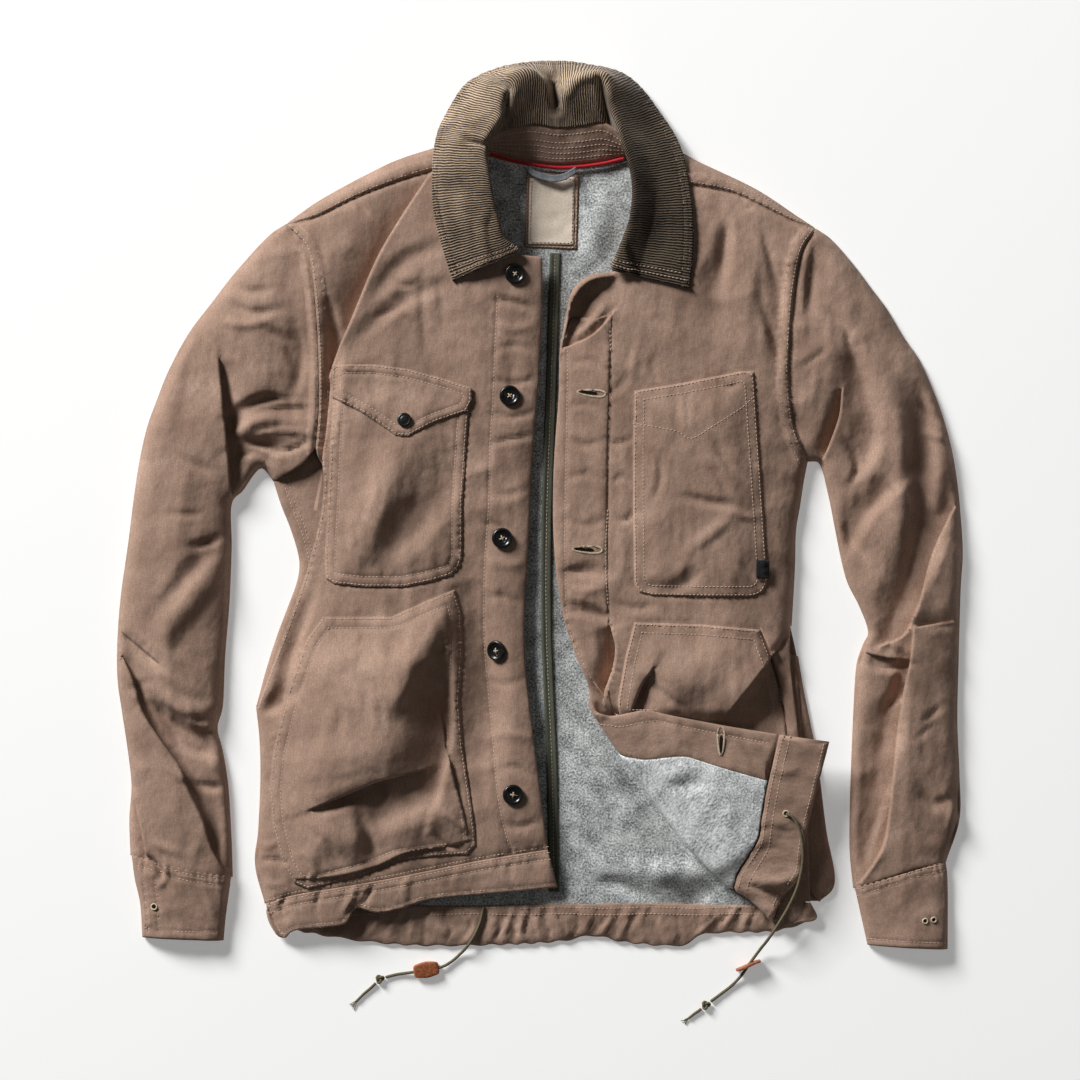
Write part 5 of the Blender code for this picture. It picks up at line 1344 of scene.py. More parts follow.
def joined(name, objects):
    """Joins meshes into one piece."""
    bm = bmesh.new()
    finishes = []
    for o in objects:
        start = len(bm.faces)
        bm.from_mesh(o.data)
        bm.faces.ensure_lookup_table()
        finish = o.data.materials[0]
        if finish not in finishes:
            finishes.append(finish)
        for face in bm.faces[start:]:
            face.material_index = finishes.index(finish)
    made = mesh_object(name, [], [])
    bm.to_mesh(made.data)
    bm.free()
    for finish in finishes:
        made.data.materials.append(finish)
    for o in objects:
        bpy.data.objects.remove(o)
    return made


def length_of(line):
    return float(np.linalg.norm(np.diff(np.asarray(line), axis=0), axis=1).sum())


CORD_DIAMETER = 2.8
KNOT_GAP = KNOT_SIZE[0] * 0.7
random = np.random.default_rng(8)


def frayed_end(tail, strands=7, reach=7.0):
    """Loose strands that spread from the end of the tail."""
    tip, before = tail[-1], tail[-6]
    direction = (tip - before) / np.linalg.norm(tip - before)
    across = np.cross(direction, [0, 0, 1.0])
    made = []
    for k in range(strands):
        spread = (k / (strands - 1) - 0.5) * 0.9 + random.normal(0, 0.06)
        end = tip + reach * random.uniform(0.7, 1.0) * (direction + spread * across)
        middle = 0.5 * (tip + end) + across * random.normal(0, 0.4)
        start = tip - direction * 1.0 + across * spread * 1.2
        line = run([start, middle, end], 1.0)
        line[:, 2] = np.maximum(line[:, 2] * (1 - 0.4 * np.linspace(0, 1, len(line))), 0.45)
        made.append(tube_mesh(f"strand_{k}", line, 0.32, braid_finish, sides=5))
    return made


def overhand(centre, direction, size=2.9, thread=1.05):
    """A small overhand knot: a trefoil pulled tight along the cord."""
    t = np.linspace(0, 2 * math.pi, 90)
    u = np.sin(t) + 2 * np.sin(2 * t)
    v = np.cos(t) - 2 * np.cos(2 * t)
    w = -np.sin(3 * t)
    d = np.array([direction[0], direction[1], 0]) / np.hypot(direction[0], direction[1])
    across = np.array([-d[1], d[0], 0])
    points = centre + size * (0.42 * u[:, None] * d + 0.36 * v[:, None] * across)
    points += w[:, None] * np.array([0, 0, 0.85])
    points[:, 2] = np.maximum(points[:, 2], thread + 0.3)
    return points, thread


def drawcord(side, route, tail):
    whole = run(route, 0.7)
    kept = whole[: len(whole) - round(KNOT_GAP / 0.7)]
    cord = tube_mesh(f"{side}_drawcord_braid", kept, CORD_DIAMETER / 2, braid_finish, braid=0.10)
    loose = run(tail, 0.7)[round(KNOT_GAP / 0.7):]
    radius = CORD_DIAMETER / 2 * np.linspace(1.0, 0.85, len(loose))
    end = [tube_mesh("tail", loose, radius, braid_finish, braid=0.10)] + frayed_end(loose)
    end = joined(f"{side}_drawcord_end", end)
    direction = np.subtract(tail[1], tail[0])
    points, thread_radius = overhand(np.array([tail[0][0], tail[0][1], 2.7]), direction)
    knot = tube_mesh(f"{side}_overhand_knot", points, thread_radius * 1.25, braid_finish, 12, 0.10)
    for piece, replaced in ((cord, "drawcord"), (end, "drawcord_tail"), (knot, "knot")):
        put(piece, "cord", f"{side}_{replaced}")
    print(f"{side} cord: {length_of(whole):.0f} mm to its knot, tail {length_of(run(tail)):.0f} mm")


drawcord("right", RIGHT_CORD, RIGHT_TAIL)
drawcord("left", LEFT_CORD, LEFT_TAIL)

# %% [markdown]
# ## The back and its lining
#
# The back lies flat on the table with its lining on it. Only the lining shows, through the open fronts.

# %% Back, lining, under sleeves


def flat_at(level, wave=0.0, folds=()):
    """A rule that lays a panel almost flat at a level."""

    def place(x, y, w=0.0):
        rise = wave * (mottle(x, y, 55, 11) - 0.4) + 0.4 * wave * (mottle(x, y, 19, 12) - 0.5)
        return np.column_stack([x, y, level + rise + np.maximum(-2.4, folds_at(x, y, folds)) - w])

    return place


BACK_LEVEL, LINING_LEVEL = 1.9, 4.8
back_outline = outline(*(run(line, 6) for line in (
    [(x, y + 6) for x, y in BACK_NECK], [(-66, 322), (-97, 328)], RIGHT_SHOULDER_EDGE, RIGHT_ARMHOLE,
    RIGHT_UNDERARM, RIGHT_SIDE_EDGE, RIGHT_LOW_EDGE, [(-252, -368), (258, -366)], LEFT_SIDE_EDGE[::-1],
    LEFT_BODY_EDGE[::-1], LEFT_ARMHOLE[::-1], LEFT_SHOULDER_EDGE[::-1], [(133, 323), (102, 318)],
)))
cloth("back", back_outline, flat_at(BACK_LEVEL), grid=12, rim=0.3)
on_lining = flat_at(LINING_LEVEL, 1.3, LINING_FOLDS + LINING_CREASES)
cloth("back_lining", traced(BACK_LINING), on_lining, finish=fleece, slot="fleece", thickness=2.2, grid=5)

SLEEVES = {
    "right": [
        RIGHT_SLEEVE_OUTER, RIGHT_CUFF_SEAM, RIGHT_SLEEVE_INNER, RIGHT_UNDERARM[::-1], RIGHT_ARMHOLE[::-1],
    ],
    "left": [LEFT_SLEEVE_OUTER, LEFT_CUFF_SEAM, LEFT_SLEEVE_INNER, LEFT_ARMHOLE[::-1]],
}
for side, lines in SLEEVES.items():
    tucked = [(x, y - 1.6) for x, y in lines[1]]  # the seam allowance goes on under the cuff
    whole = outline(*(run(line) for line in (lines[0], tucked, *lines[2:])))
    under = outline(row_inside(whole, 2.5))
    cloth(f"{side}_under_sleeve", under, flat_at(BACK_LEVEL), grid=14, rim=0.3)
    cloth(f"{side}_top_sleeve", whole, laid([]), skirts=[lines[0], lines[2]])

# %% [markdown]
# ## The right front
#
# The front itself, a yoke strip over the shoulder, a side panel that turns under, and the hem band. The
# pockets are patches: each asks the front for its height, adds its own swelling, and lies on it.

# %% Right front, yoke, side panel, hem band


def panel_of(*seams):
    """The outline of a panel between its seams."""
    return outline(*(run(seam) for seam in seams))


def side_layer(rows):
    """A rule for the side panels, which turn under."""

    def place(x, y, w=0.0):
        z = EDGE_HEIGHT - 0.6 + 3.6 * (1 - np.exp(-to_side(x, y) / 10)) + 0.5 * stitched(x, y, rows)
        return np.column_stack([x, y, z - w])

    return place


rows = BODY_ROWS["right_front"]
right_front = panel_of(
    RIGHT_SHOULDER_SEAM, RIGHT_ARMHOLE, RIGHT_FRONT_SIDE, RIGHT_LOW_EDGE, RIGHT_HEM_SEAM,
    RIGHT_FRONT_EDGE, [(3, 227), (-22, 229)], RIGHT_NECK,
)
on_right = laid(rows + [np.array(RIGHT_POCKET_EDGE), np.array(RIGHT_HAND_EDGE)])
cloth("right_front", right_front, on_right, rows, skirts=[RIGHT_LOW_EDGE])

rows = BODY_ROWS["right_yoke"]
yoke = panel_of(RIGHT_SHOULDER_EDGE, RIGHT_SHOULDER_SEAM[::-1], [(-66, 315), (-70, 324), (-97, 328)])
cloth("right_yoke", yoke, laid(rows), rows, skirts=[RIGHT_SHOULDER_EDGE])

rows = beside(RIGHT_SIDE_EDGE[:9], 8.0, 12.0)
under_front = [(x + 9, y) for x, y in RIGHT_FRONT_SIDE[7::-1]]
right_side = panel_of([(x, y + 3) for x, y in RIGHT_UNDERARM], RIGHT_SIDE_EDGE, under_front)
cloth("right_side_panel", right_side, side_layer(rows), rows, thickness=1.3, skirts=[RIGHT_SIDE_EDGE])

rows = BODY_ROWS["right_hem"]
right_hem = panel_of(RIGHT_HEM_EDGE, [(17, -352), (8, -317)], RIGHT_HEM_SEAM[::-1])
cloth("right_hem_band", right_hem, laid(rows, 0.5), rows, thickness=2.4)

# %% [markdown]
# A loaded pocket bags: it stands out in its middle and is held flat along its stitched edges.

# %% Right pockets and flap
PATCH_LIFT, FLAP_LIFT = 1.9, 4.2
PATCH_CUT = dict(thickness=1.3, grid=3.2, rim=1.1)


def swell(edge, size):
    """How far a pocket stands out: nothing at its edge, most in the middle."""
    height, width = size

    def bulge(x, y):
        d = nearest(x, y, np.array(edge + edge[:1]))[0]
        return height * smooth_step(d / width) * inside(x, y, edge)

    return bulge


def patch(name, edge, rows, bulge, lift=PATCH_LIFT):
    """A patch on a panel, on the same relief, standing out by its lift and its own bulge."""
    return cloth(name, edge, laid(rows, lambda x, y: lift + bulge(x, y)), rows, **PATCH_CUT)


chest_bulge = swell(RIGHT_POCKET_EDGE, CHEST_POCKET_SWELL)
patch("right_chest_pocket", RIGHT_POCKET_EDGE, POCKET_ROWS["right_chest"], chest_bulge)
on_flap = patch("chest_flap", FLAP_EDGE, POCKET_ROWS["flap"], chest_bulge, FLAP_LIFT)
right_hand_bulge = swell(RIGHT_HAND_EDGE, RIGHT_HAND_SWELL)
patch("right_hand_pocket", RIGHT_HAND_EDGE, POCKET_ROWS["right_hand"], right_hand_bulge)

# %% [markdown]
# ## The left front and its turned corner
#
# The left front is one piece of cloth with its corner turned back. Before it turns, it is flat like the
# right one. Past the fold line it runs round a small roll, and then lies inside up, higher by the roll.
# A layer at a depth below the outer face comes out on top there, so the facing and the lining show.
# The fold is not quite straight: the weight of the corner bows it.

# %% The roll
FOLD_START = np.array([44.0, -192.0])
FOLD_ANGLE = math.radians(-52.0)
FOLD_RADIUS = 5.0
COVERED_HEIGHT = 13.0
FOLD_DIRECTION = np.array([math.cos(FOLD_ANGLE), math.sin(FOLD_ANGLE)])
FOLD_NORMAL = np.array([FOLD_DIRECTION[1], -FOLD_DIRECTION[0]])  # toward the cloth that turns
FOLD_ARC = math.pi * FOLD_RADIUS
CORNER_PULL = (6.0, 15.0)  # how far the corner was pulled along X and Y after it was turned
CORNER_SPREAD = 0.11  # how much longer it then lies along X
CORNER_SLACK = 25.0  # the cloth past the roll that takes up the pull
SUNKEN_END = 7.0  # how far the crumpled end of the hem lies below the flat band
# how far the fold is out of line, as (along it, out of line)
FOLD_BOW = [(0, -12.8), (45, -9.1), (91, -8.4), (153, -6.0), (201, -12.0), (236, -24.0)]

LEFT_ROWS = BODY_ROWS["left_front"] + [np.array(LEFT_POCKET_EDGE), np.array(LEFT_HAND_EDGE)]
INSIDE_ROWS = [run(LEFT_EDGE_ROW), *beside(FACING_INNER, -2.5), *beside(LEFT_HEM_SEAM, 2.5)]


def left_upper(x, y):
    """The upper layer of the left front, pressed down where the turned corner lies on it."""
    z = upper(x, y)
    covered = smooth_step((-186 - y) / 20)
    return z - covered * np.maximum(0, z - COVERED_HEIGHT + 6 * smooth_step((-336 - y) / 14))


def from_fold(x, y):
    """How far a point lies along the fold line, and beyond it."""
    dx, dy = x - FOLD_START[0], y - FOLD_START[1]
    return dx * FOLD_DIRECTION[0] + dy * FOLD_DIRECTION[1], dx * FOLD_NORMAL[0] + dy * FOLD_NORMAL[1]


def on_left(x, y, w=0.0, lift=0.0):
    """Lays a flat piece on the left front: w is the depth below the outer face."""
    w = np.broadcast_to(w, x.shape) - lift
    along, s = from_fold(x, y)
    foot_x, foot_y = x - s * FOLD_NORMAL[0], y - s * FOLD_NORMAL[1]
    arc = np.clip(s, 0, FOLD_ARC) / FOLD_RADIUS
    past = np.maximum(0, s - FOLD_ARC)
    bow = np.interp(along, *zip(*FOLD_BOW)) * smooth_step((s + 30) / 30) * np.exp(-past / 45)
    out = np.sin(arc) * (FOLD_RADIUS + w) - past
    folded = s > 0
    lie_x = np.where(folded, foot_x + out * FOLD_NORMAL[0], x) + bow * FOLD_NORMAL[0]
    lie_y = np.where(folded, foot_y + out * FOLD_NORMAL[1], y) + bow * FOLD_NORMAL[1]
    pulled = smooth_step(past / CORNER_SLACK)
    lie_x = lie_x + pulled * (CORNER_PULL[0] + CORNER_SPREAD * (lie_x - FOLD_START[0]))
    lie_y = lie_y + pulled * CORNER_PULL[1]
    keep = smooth_step(to_side(x, y) / 8)
    flat = left_upper(x, y) + relief(x, y, LEFT_ROWS) * keep * smooth_step(-s / 12) - w
    level = COVERED_HEIGHT + (left_upper(foot_x, foot_y) - COVERED_HEIGHT) * np.exp(-past / 60)
    corner = folds_at(lie_x, lie_y, CORNER_FOLDS + CORNER_CREASES) + crumple(lie_x + 300, lie_y)
    corner += stitched(x, y, INSIDE_ROWS)
    end = smooth_step((-347 - 0.12 * (lie_x - 190) - lie_y) / 3.0) * smooth_step((lie_x - 178) / 14)
    below = np.maximum(0, -347 - lie_y)
    corner += end * (7.0 * (mottle(lie_x, lie_y, 7, 51) - 0.5) - SUNKEN_END - 0.15 * below)
    turned = level + FOLD_RADIUS - np.cos(arc) * (FOLD_RADIUS + w) + corner * smooth_step(past / 14)
    return np.column_stack([lie_x, lie_y, np.where(folded, turned, flat)])


def roll_lines(step=1.3):
    """Lines along the fold where a panel needs points, so that it can roll."""
    lines = []
    for s in np.arange(-3 * step, FOLD_ARC + 4 * step, step):
        foot = FOLD_START + s * FOLD_NORMAL
        lines.append(run([foot + reach * FOLD_DIRECTION for reach in (-70, 130, 330)], 3.2))
    return lines


TURNED = dict(lines=roll_lines(), held="folded")  # what each layer of the turned front shares
print("the roll takes", round(FOLD_ARC, 1), "mm of cloth")

# %% Left front, band, facing, lining, hem band
BAND_LIFT, BAND_END = 1.1, -165  # the band stands out by this, and its rows end at this Y
FACING_DEPTH, LINING_DEPTH, HEM_DEPTH = 3.9, 4.6, 4.4  # below the outer face

left_front = panel_of(
    LEFT_SHOULDER_SEAM[::-1], LEFT_NECK, LEFT_NECK_EDGE, LEFT_FRONT_EDGE, LEFT_HEM_SEAM,
    LEFT_FRONT_SIDE[::-1], LEFT_BODY_EDGE[::-1], LEFT_ARMHOLE[::-1],
)
seen_rows = [row[row[:, 1] > BAND_END] for row in BODY_ROWS["left_front"]]
armhole_rows = [row for row in seen_rows if len(row) and row[0][0] > 90]
cloth("left_front", left_front, on_left, seen_rows, armhole_rows, skirts=[LEFT_BODY_EDGE], **TURNED)

front_edge = run(LEFT_FRONT_EDGE)
band = outline([p for p in front_edge if p[1] < 150], run(LEFT_PLACKET_INNER), [(30, 172)])


def on_band(x, y, w=0.0):
    return on_left(x, y, w, BAND_LIFT)


band_rows = [row[(row[:, 1] > BAND_END) & (row[:, 1] < 160)] for row in (LEFT_PLACKET_ROW, LEFT_EDGE_ROW)]
cloth("buttonhole_band", band, on_band, band_rows, solid="left_buttonhole_band", thickness=1.3, **TURNED)


def inside_up(depth):
    """A rule for a layer on the inside: its free face is the deeper one."""
    return lambda x, y, w=0.0: on_left(x, y, depth - w)


facing = outline([p for p in front_edge if p[1] < -140], run(FACING_INNER), [(62, -185)])
facing_rows = [row[row[:, 1] < -190] for row in INSIDE_ROWS[:2]]
cloth(
    "facing", facing, inside_up(FACING_DEPTH), facing_rows, solid="left_front_facing", thickness=1.4,
    flip=True, **TURNED,
)
hem_line = [p for p in run(LEFT_HEM_SEAM) if 80 < p[0] < 205]
lining = outline([(72, -358)], hem_line, [(66, -190)], run(FACING_INNER[::-1]))
cloth(
    "corner_lining", lining, inside_up(LINING_DEPTH), solid="left_front_lining", finish=painted_light_fleece,
    slot="fleece", thickness=2.0, flip=True, **TURNED,
)


def ruffled(x, y, w=0.0):
    """The hem casing, drawn up a little by its cord."""
    along = x + 2.0 * np.sin(x / 9.0)
    wave = 1.1 * np.sin(2 * math.pi * along / 15.0) * smooth_step((x - 150) / 60) + 0.5 * np.sin(along / 4.1)
    points = on_left(x, y, HEM_DEPTH + wave - w)
    points[:, 2] = np.maximum(points[:, 2], 2.6)
    return points


left_hem = outline(run(LEFT_HEM_EDGE), [(x, y - 1.0) for x, y in run(LEFT_HEM_SEAM[::-1])])
hem_rows = [row[row[:, 0] < 235] for row in beside(LEFT_HEM_SEAM, -4.0, -10.0) + beside(LEFT_HEM_EDGE, 4.0)]
cloth("left_hem_band", left_hem, ruffled, hem_rows, thickness=2.2, rim=1.6, flip=True, **TURNED)

rows = BODY_ROWS["left_yoke"]
yoke = panel_of(LEFT_SHOULDER_SEAM, LEFT_SHOULDER_EDGE[::-1], [(133, 323), (112, 316), (102, 301)])
cloth("left_yoke", yoke, laid(rows), rows, skirts=[LEFT_SHOULDER_EDGE])

left_side = panel_of(LEFT_SIDE_EDGE[1:], [(x - 9, y) for x, y in LEFT_FRONT_SIDE[6:0:-1]])
cloth("left_side_panel", left_side, side_layer([]), thickness=1.3, skirts=[LEFT_SIDE_EDGE])

# %% Left pockets


def left_patch(name, edge, rows, bulge):
    """A patch on the left front, which follows its roll."""

    def place(x, y, w=0.0):
        return on_left(x, y, w, PATCH_LIFT + bulge(x, y))

    seen = [row[row[:, 1] > -190] for row in rows]  # the rest is under the turned corner
    cloth(name, edge, place, rows, seen, lines=TURNED["lines"], **PATCH_CUT)


left_chest_bulge = swell(LEFT_POCKET_EDGE, CHEST_POCKET_SWELL)
left_hand_bulge = swell(LEFT_HAND_EDGE, LEFT_HAND_SWELL)
left_patch("left_chest_pocket", LEFT_POCKET_EDGE, POCKET_ROWS["left_chest"], left_chest_bulge)
left_patch(
    "left_hand_pocket", LEFT_HAND_EDGE, POCKET_ROWS["left_hand"],
    lambda x, y: left_hand_bulge(x, y) * smooth_step((y + 195) / 40),
)

# %% [markdown]
# ## Back hem band and cuffs
#
# The hem of the back is a casing with a drawcord in it, so it is gathered: waves of about 20 mm, each
# with a sharp little valley. The cuffs are flattened tubes, open at the wrist.

# %% Back hem band


def gather_phase(x):
    return 2 * math.pi * x / GATHER_LENGTH + 2.4 * np.sin(x / 43.0) + 1.5 * np.sin(x / 17.0 + 1)


def gathered(x, y, w=0.0):
    """Waves across the band that grow from its seam and sink again at its lower edge."""
    lower = np.interp(x, *zip(*BACK_HEM_EDGE))
    share = np.clip((BACK_HEM_TOP - y) / (BACK_HEM_TOP - lower), 0, 1)
    phase = gather_phase(x) + 1.6 * np.sin(share * 4 + x / 17.0)
    wave = 0.5 + 0.5 * np.sin(phase)
    sharp = 1 - np.abs(np.sin(0.85 * phase + 3.0 * share + 2 * mottle(x, y, 25, 22)))
    fine = mottle(x, y, 6, 21) - 0.5
    drawn = 0.4 + 1.3 * mottle(x, y, 34, 23)
    z = 3.4 + 2.6 * (1 - share) ** 2 + 1.0 * fine
    ends = np.sin(math.pi * np.clip(share, 0.03, 0.97)) ** 0.6
    z += ends * (1.4 + drawn * (2.2 * wave**1.5 - 1.8 * sharp**4))
    return np.column_stack([x, y, np.maximum(z - w, 1.2)])


lower = run(BACK_HEM_EDGE, 3.0)
lower[:, 1] += 0.8 * np.sin(gather_phase(lower[:, 0]))
upper_edge = [
    (x, BACK_HEM_TOP + math.sin(x * 0.02) + 9 * float(smooth_step((x - 205) / 14)))
    for x in np.arange(246, -233, -3.0)
]
gather_rows = [
    run([(x, BACK_HEM_TOP + d + 0.6 * math.sin(x / 13)) for x in range(-225, 240, 8)]) for d in (-3.0, -9.0)
]
cloth(
    "back_hem_band", outline(lower, upper_edge), gathered, gather_rows, thickness=1.8, grid=2.6,
    held="gathered",
)

# %% Cuffs


def resampled(line, count):
    """The line through a count of even points."""
    at, own = np.linspace(0, 1, count), np.linspace(0, 1, len(line))
    return np.column_stack([np.interp(at, own, line[:, k]) for k in range(line.shape[1])])


def cuff(side, outer, inner, rows, across=64, step=2.2):
    """A flattened tube of cloth, through closed sections from its seam to its open end."""
    length = len(run(outer, step))
    left, right = (resampled(run(line, 1.0), length) for line in (outer, inner[::-1]))
    if left[0][0] > right[0][0]:
        left, right = right, left
    rings, flat = [], []
    for number, (a, b) in enumerate(zip(left, right)):
        end = 1 - smooth_step(min(number, length - 1 - number) * step / 3.0)
        share = 0.5 - 0.5 * np.cos(np.linspace(0, math.pi, across))
        x, y = a[0] + (b[0] - a[0]) * share, a[1] + (b[1] - a[1]) * share
        z = upper(x, y) + relief(x, y, rows) * smooth_step(to_side(x, y) / 6) - 0.8 * end
        z[0] = z[-1] = 3.4
        z[1], z[-2] = min(z[1], 5.0), min(z[-2], 5.0)
        bottom = 0.5 - 0.5 * np.cos(np.linspace(math.pi, 0, across // 2))[1:-1]
        bx, by = a[0] + (b[0] - a[0]) * bottom, a[1] + (b[1] - a[1]) * bottom
        low = 0.35 + 1.2 * (1 - smooth_step(np.minimum(bottom, 1 - bottom) * 30))
        rings.append(np.vstack([np.column_stack([x, y, z]), np.column_stack([bx, by, low])]))
        around = np.concatenate([share, 2 - bottom]) * np.linalg.norm(b - a)
        flat.append(np.column_stack([around, np.full(len(around), number * step)]))
    n = len(rings[0])
    faces = [
        (k * n + i, (k + 1) * n + i, (k + 1) * n + (i + 1) % n, k * n + (i + 1) % n)
        for k in range(length - 1) for i in range(n)
    ]
    made = shell(f"{side}_cuff_shell", np.vstack(rings), faces, np.vstack(flat), canvas, 1.6)
    width = 2 * np.linalg.norm(right[0] - left[0]) * MM
    dress(made, f"{side}_cuff", "canvas", (width, length * step * MM), held="folded")


RIGHT_CUFF_ROWS = [
    *beside(RIGHT_CUFF_SEAM, -3.0, -9.0), *beside(RIGHT_CUFF_END, 10.0),
    run([(-364, -345), (-362, -365), (-361, -392)]), run([(-353, -345), (-351, -365), (-350, -392)]),
]
LEFT_CUFF_ROWS = [*beside(LEFT_CUFF_SEAM, 3.0, 9.0), *beside(LEFT_CUFF_END, -6.0)]
cuff("right", RIGHT_CUFF_OUTER, RIGHT_CUFF_INNER, RIGHT_CUFF_ROWS)
cuff("left", LEFT_CUFF_OUTER, LEFT_CUFF_INNER, LEFT_CUFF_ROWS)
for rows, edges in (
    (RIGHT_CUFF_ROWS, (RIGHT_CUFF_OUTER, RIGHT_CUFF_END, RIGHT_CUFF_INNER, RIGHT_CUFF_SEAM[::-1])),
    (LEFT_CUFF_ROWS, (LEFT_CUFF_OUTER, LEFT_CUFF_END, LEFT_CUFF_INNER, LEFT_CUFF_SEAM[::-1])),
):
    sew(rows, laid(rows), panel_of(*edges))

# %% [markdown]
# ## Collar and neck
#
# The collar is lofted through stations round the neck: the neck seam, the top of the stand, the roll, a
# crown and the outer edge. The leaves lie on the fronts; at the back the roll is crumpled.

# %% Collar and stand
COLUMNS = 190
shares = np.linspace(0, 1, COLUMNS)
neck_seam, stand_top, collar_roll, collar_edge = (
    resampled(run([station[k] for station in COLLAR_STATIONS], 1.0), COLUMNS) for k in range(4)
)
hollow = smooth_step((shares - 0.62) / 0.12)[:, None]  # the left leaf is hollow, the rest is arched
crown = collar_roll * 0.45 + collar_edge * 0.55 + (5.0 - 9.0 * hollow) * np.array([0, 0, 1.0])
rising = collar_roll - stand_top
leaf_start = stand_top - rising / np.linalg.norm(rising, axis=1)[:, None] * 0.6


def loft(name, solid, sections, rows, finish, slot, thickness, lies_from=1.0, table=(), edge_rows=()):
    """A sheet through the section lines, which lies on the fronts past the share lies_from of its width."""
    grid, widths = [], []
    for k in range(COLUMNS):
        section = run([line[k] for line in sections], 0.5)
        at = np.linspace(0, len(section) - 1, rows + 1)
        column = np.column_stack([np.interp(at, np.arange(len(section)), values) for values in section.T])
        over = upper(column[:, 0], column[:, 1]) + thickness / 2 + 2.0
        on_front = (np.linspace(0, 1, rows + 1) > lies_from) & (column[:, 1] < 318)
        column[:, 2] += folds_at(column[:, 0], column[:, 1], table)
        column[:, 2] = np.where(on_front, np.maximum(column[:, 2], over), column[:, 2])
        grid.append(column)
        widths.append(len(section) * 0.5)
    grid = np.array(grid)
    normal = np.cross(np.gradient(grid, axis=1), np.gradient(grid, axis=0))
    normal /= np.maximum(np.linalg.norm(normal, axis=2), 1e-9)[..., None]
    if normal[COLUMNS // 2, rows // 2, 2] < 0:
        normal = -normal
    u = np.cumsum(np.linalg.norm(np.diff(grid[:, rows // 2], axis=0, prepend=grid[:1, rows // 2]), axis=1))
    v = np.linspace(0, 1, rows + 1)[None, :] * np.array(widths)[:, None]
    from_edge = np.array(widths)[:, None] - v
    from_end = np.minimum(u, u[-1] - u)[:, None] + 0 * v
    along = u[:, None] + 0 * v
    shape = 0.9 * (mottle(along, v, 22, 31) - 0.5) + 0.5 * (mottle(along, v, 9, 32) - 0.5)
    pucker = np.sin(2 * math.pi * u / 6.5 + 1.6 * np.sin(u / 17.0))[:, None]
    for distance in edge_rows:
        for d in (from_edge - distance, from_end - distance):
            shape = shape + 0.4 * pucker * np.exp(-((d / 5.0) ** 2)) - 0.8 * np.exp(-((d / 1.4) ** 2))
    round_off = smooth_step(np.minimum(from_edge, from_end) / 2.6)
    shape -= (1 - round_off) * 1.0
    grid = grid + normal * (shape + thickness / 2)[..., None]
    n = rows + 1
    faces = [
        (k * n + i, k * n + i + 1, (k + 1) * n + i + 1, (k + 1) * n + i)
        for k in range(COLUMNS - 1) for i in range(rows)
    ]
    a, b, c = grid[20, 2], grid[20, 3], grid[21, 3]
    if np.dot(np.cross(b - a, c - b), normal[20, 2]) < 0:
        faces = [f[::-1] for f in faces]
    flat = np.stack([along, v], axis=2).reshape(-1, 2)
    made = shell(f"{name}_shell", grid.reshape(-1, 3), faces, flat, finish, thickness)
    dress(made, solid, slot, (u[-1] * MM, max(widths) * MM), np.mean(widths) * u[-1] * MM * MM, "folded")
    return grid, normal, from_edge, from_end


EDGE_ROWS = (3.0, 8.0)  # the rows of stitches along the collar's edge
middle = neck_seam * 0.5 + stand_top * 0.5
stand, stand_normal, _, _ = loft(
    "stand", "collar_stand", [neck_seam, middle, stand_top], 14, canvas, "canvas", 1.8,
)
collar_grid, collar_normal, from_edge, from_end = loft(
    "collar", "collar", [leaf_start, collar_roll, crown, collar_edge], 46, corduroy, "corduroy", 2.8, 0.4,
    COLLAR_FOLDS, EDGE_ROWS,
)


for row in (2, 4, 6, 8, 11):
    STITCHED.append((stand[:, row] + stand_normal[:, row] * 0.1)[2:-2])
for distance in EDGE_ROWS:
    columns = np.argmin(np.abs(from_edge - distance), axis=1)
    sides = from_end[:, 0] > distance
    edge_line = np.array([
        collar_grid[k, columns[k]] - 0.3 * collar_normal[k, columns[k]] for k in range(COLUMNS)
    ])
    STITCHED.append(edge_line[sides])
    for k in (int(np.argmax(sides)), COLUMNS - 1 - int(np.argmax(sides[::-1]))):
        STITCHED.append((collar_grid[k] + 0.15 * collar_normal[k])[4 : columns[k]])

# %% [markdown]
# Small pieces finish the neck: a piping over the seam, a tape over the lining's centre seam, a label on
# its backing, and a loop to hang the jacket up. Each lies on what is below it, lifted by its thickness.

# %% Piping, seam tape, labels, hanger loop
seam = run([s[0] for s in COLLAR_STATIONS[4:13]], 1.0)
piping = np.column_stack([seam[12:-12, 0] * 0.97 + 0.5, seam[12:-12, 1] - 3.6, np.full(len(seam) - 24, 9.0)])
put(tube_mesh("neck_piping_cord", piping, 1.6, satin, 12, 0.03, 16.0), "piping", "neck_piping")


def on_lining_at(lift):
    """A rule for what lies on the lining."""

    def place(x, y, w=0.0):
        points = on_lining(x, y, w)
        points[:, 2] += lift(x, y) if callable(lift) else lift
        return points

    return place


def taped(x, y):
    """The seam tape: a raised edge on each side of a sunk middle."""
    d = nearest(x, y, TAPE_MIDDLE)[0]
    return 1.3 + 0.9 * np.exp(-(((d - 3.6) / 0.9) ** 2)) - 0.5 * np.exp(-((d / 0.8) ** 2))


TAPE_MIDDLE = run([(15, 232), (11, 100), (7, -20), (7, -120), (12, -240), (14, -357)])
tape_edge = traced(SEAM_TAPE)
cloth(
    "seam_tape", tape_edge, on_lining_at(taped), solid="centre_back_tape", finish=twill, slot="tape",
    thickness=1.0, grid=1.6, rim=0.5,
)
sew([TAPE_MIDDLE], on_lining_at(lambda x, y: taped(x, y) + 0.1), tape_edge)

backing, label = traced(LABEL_BACKING), traced(LABEL)
cloth("label_backing", backing, on_lining_at(1.0), slot="label_backing", thickness=0.6, rim=0.3)


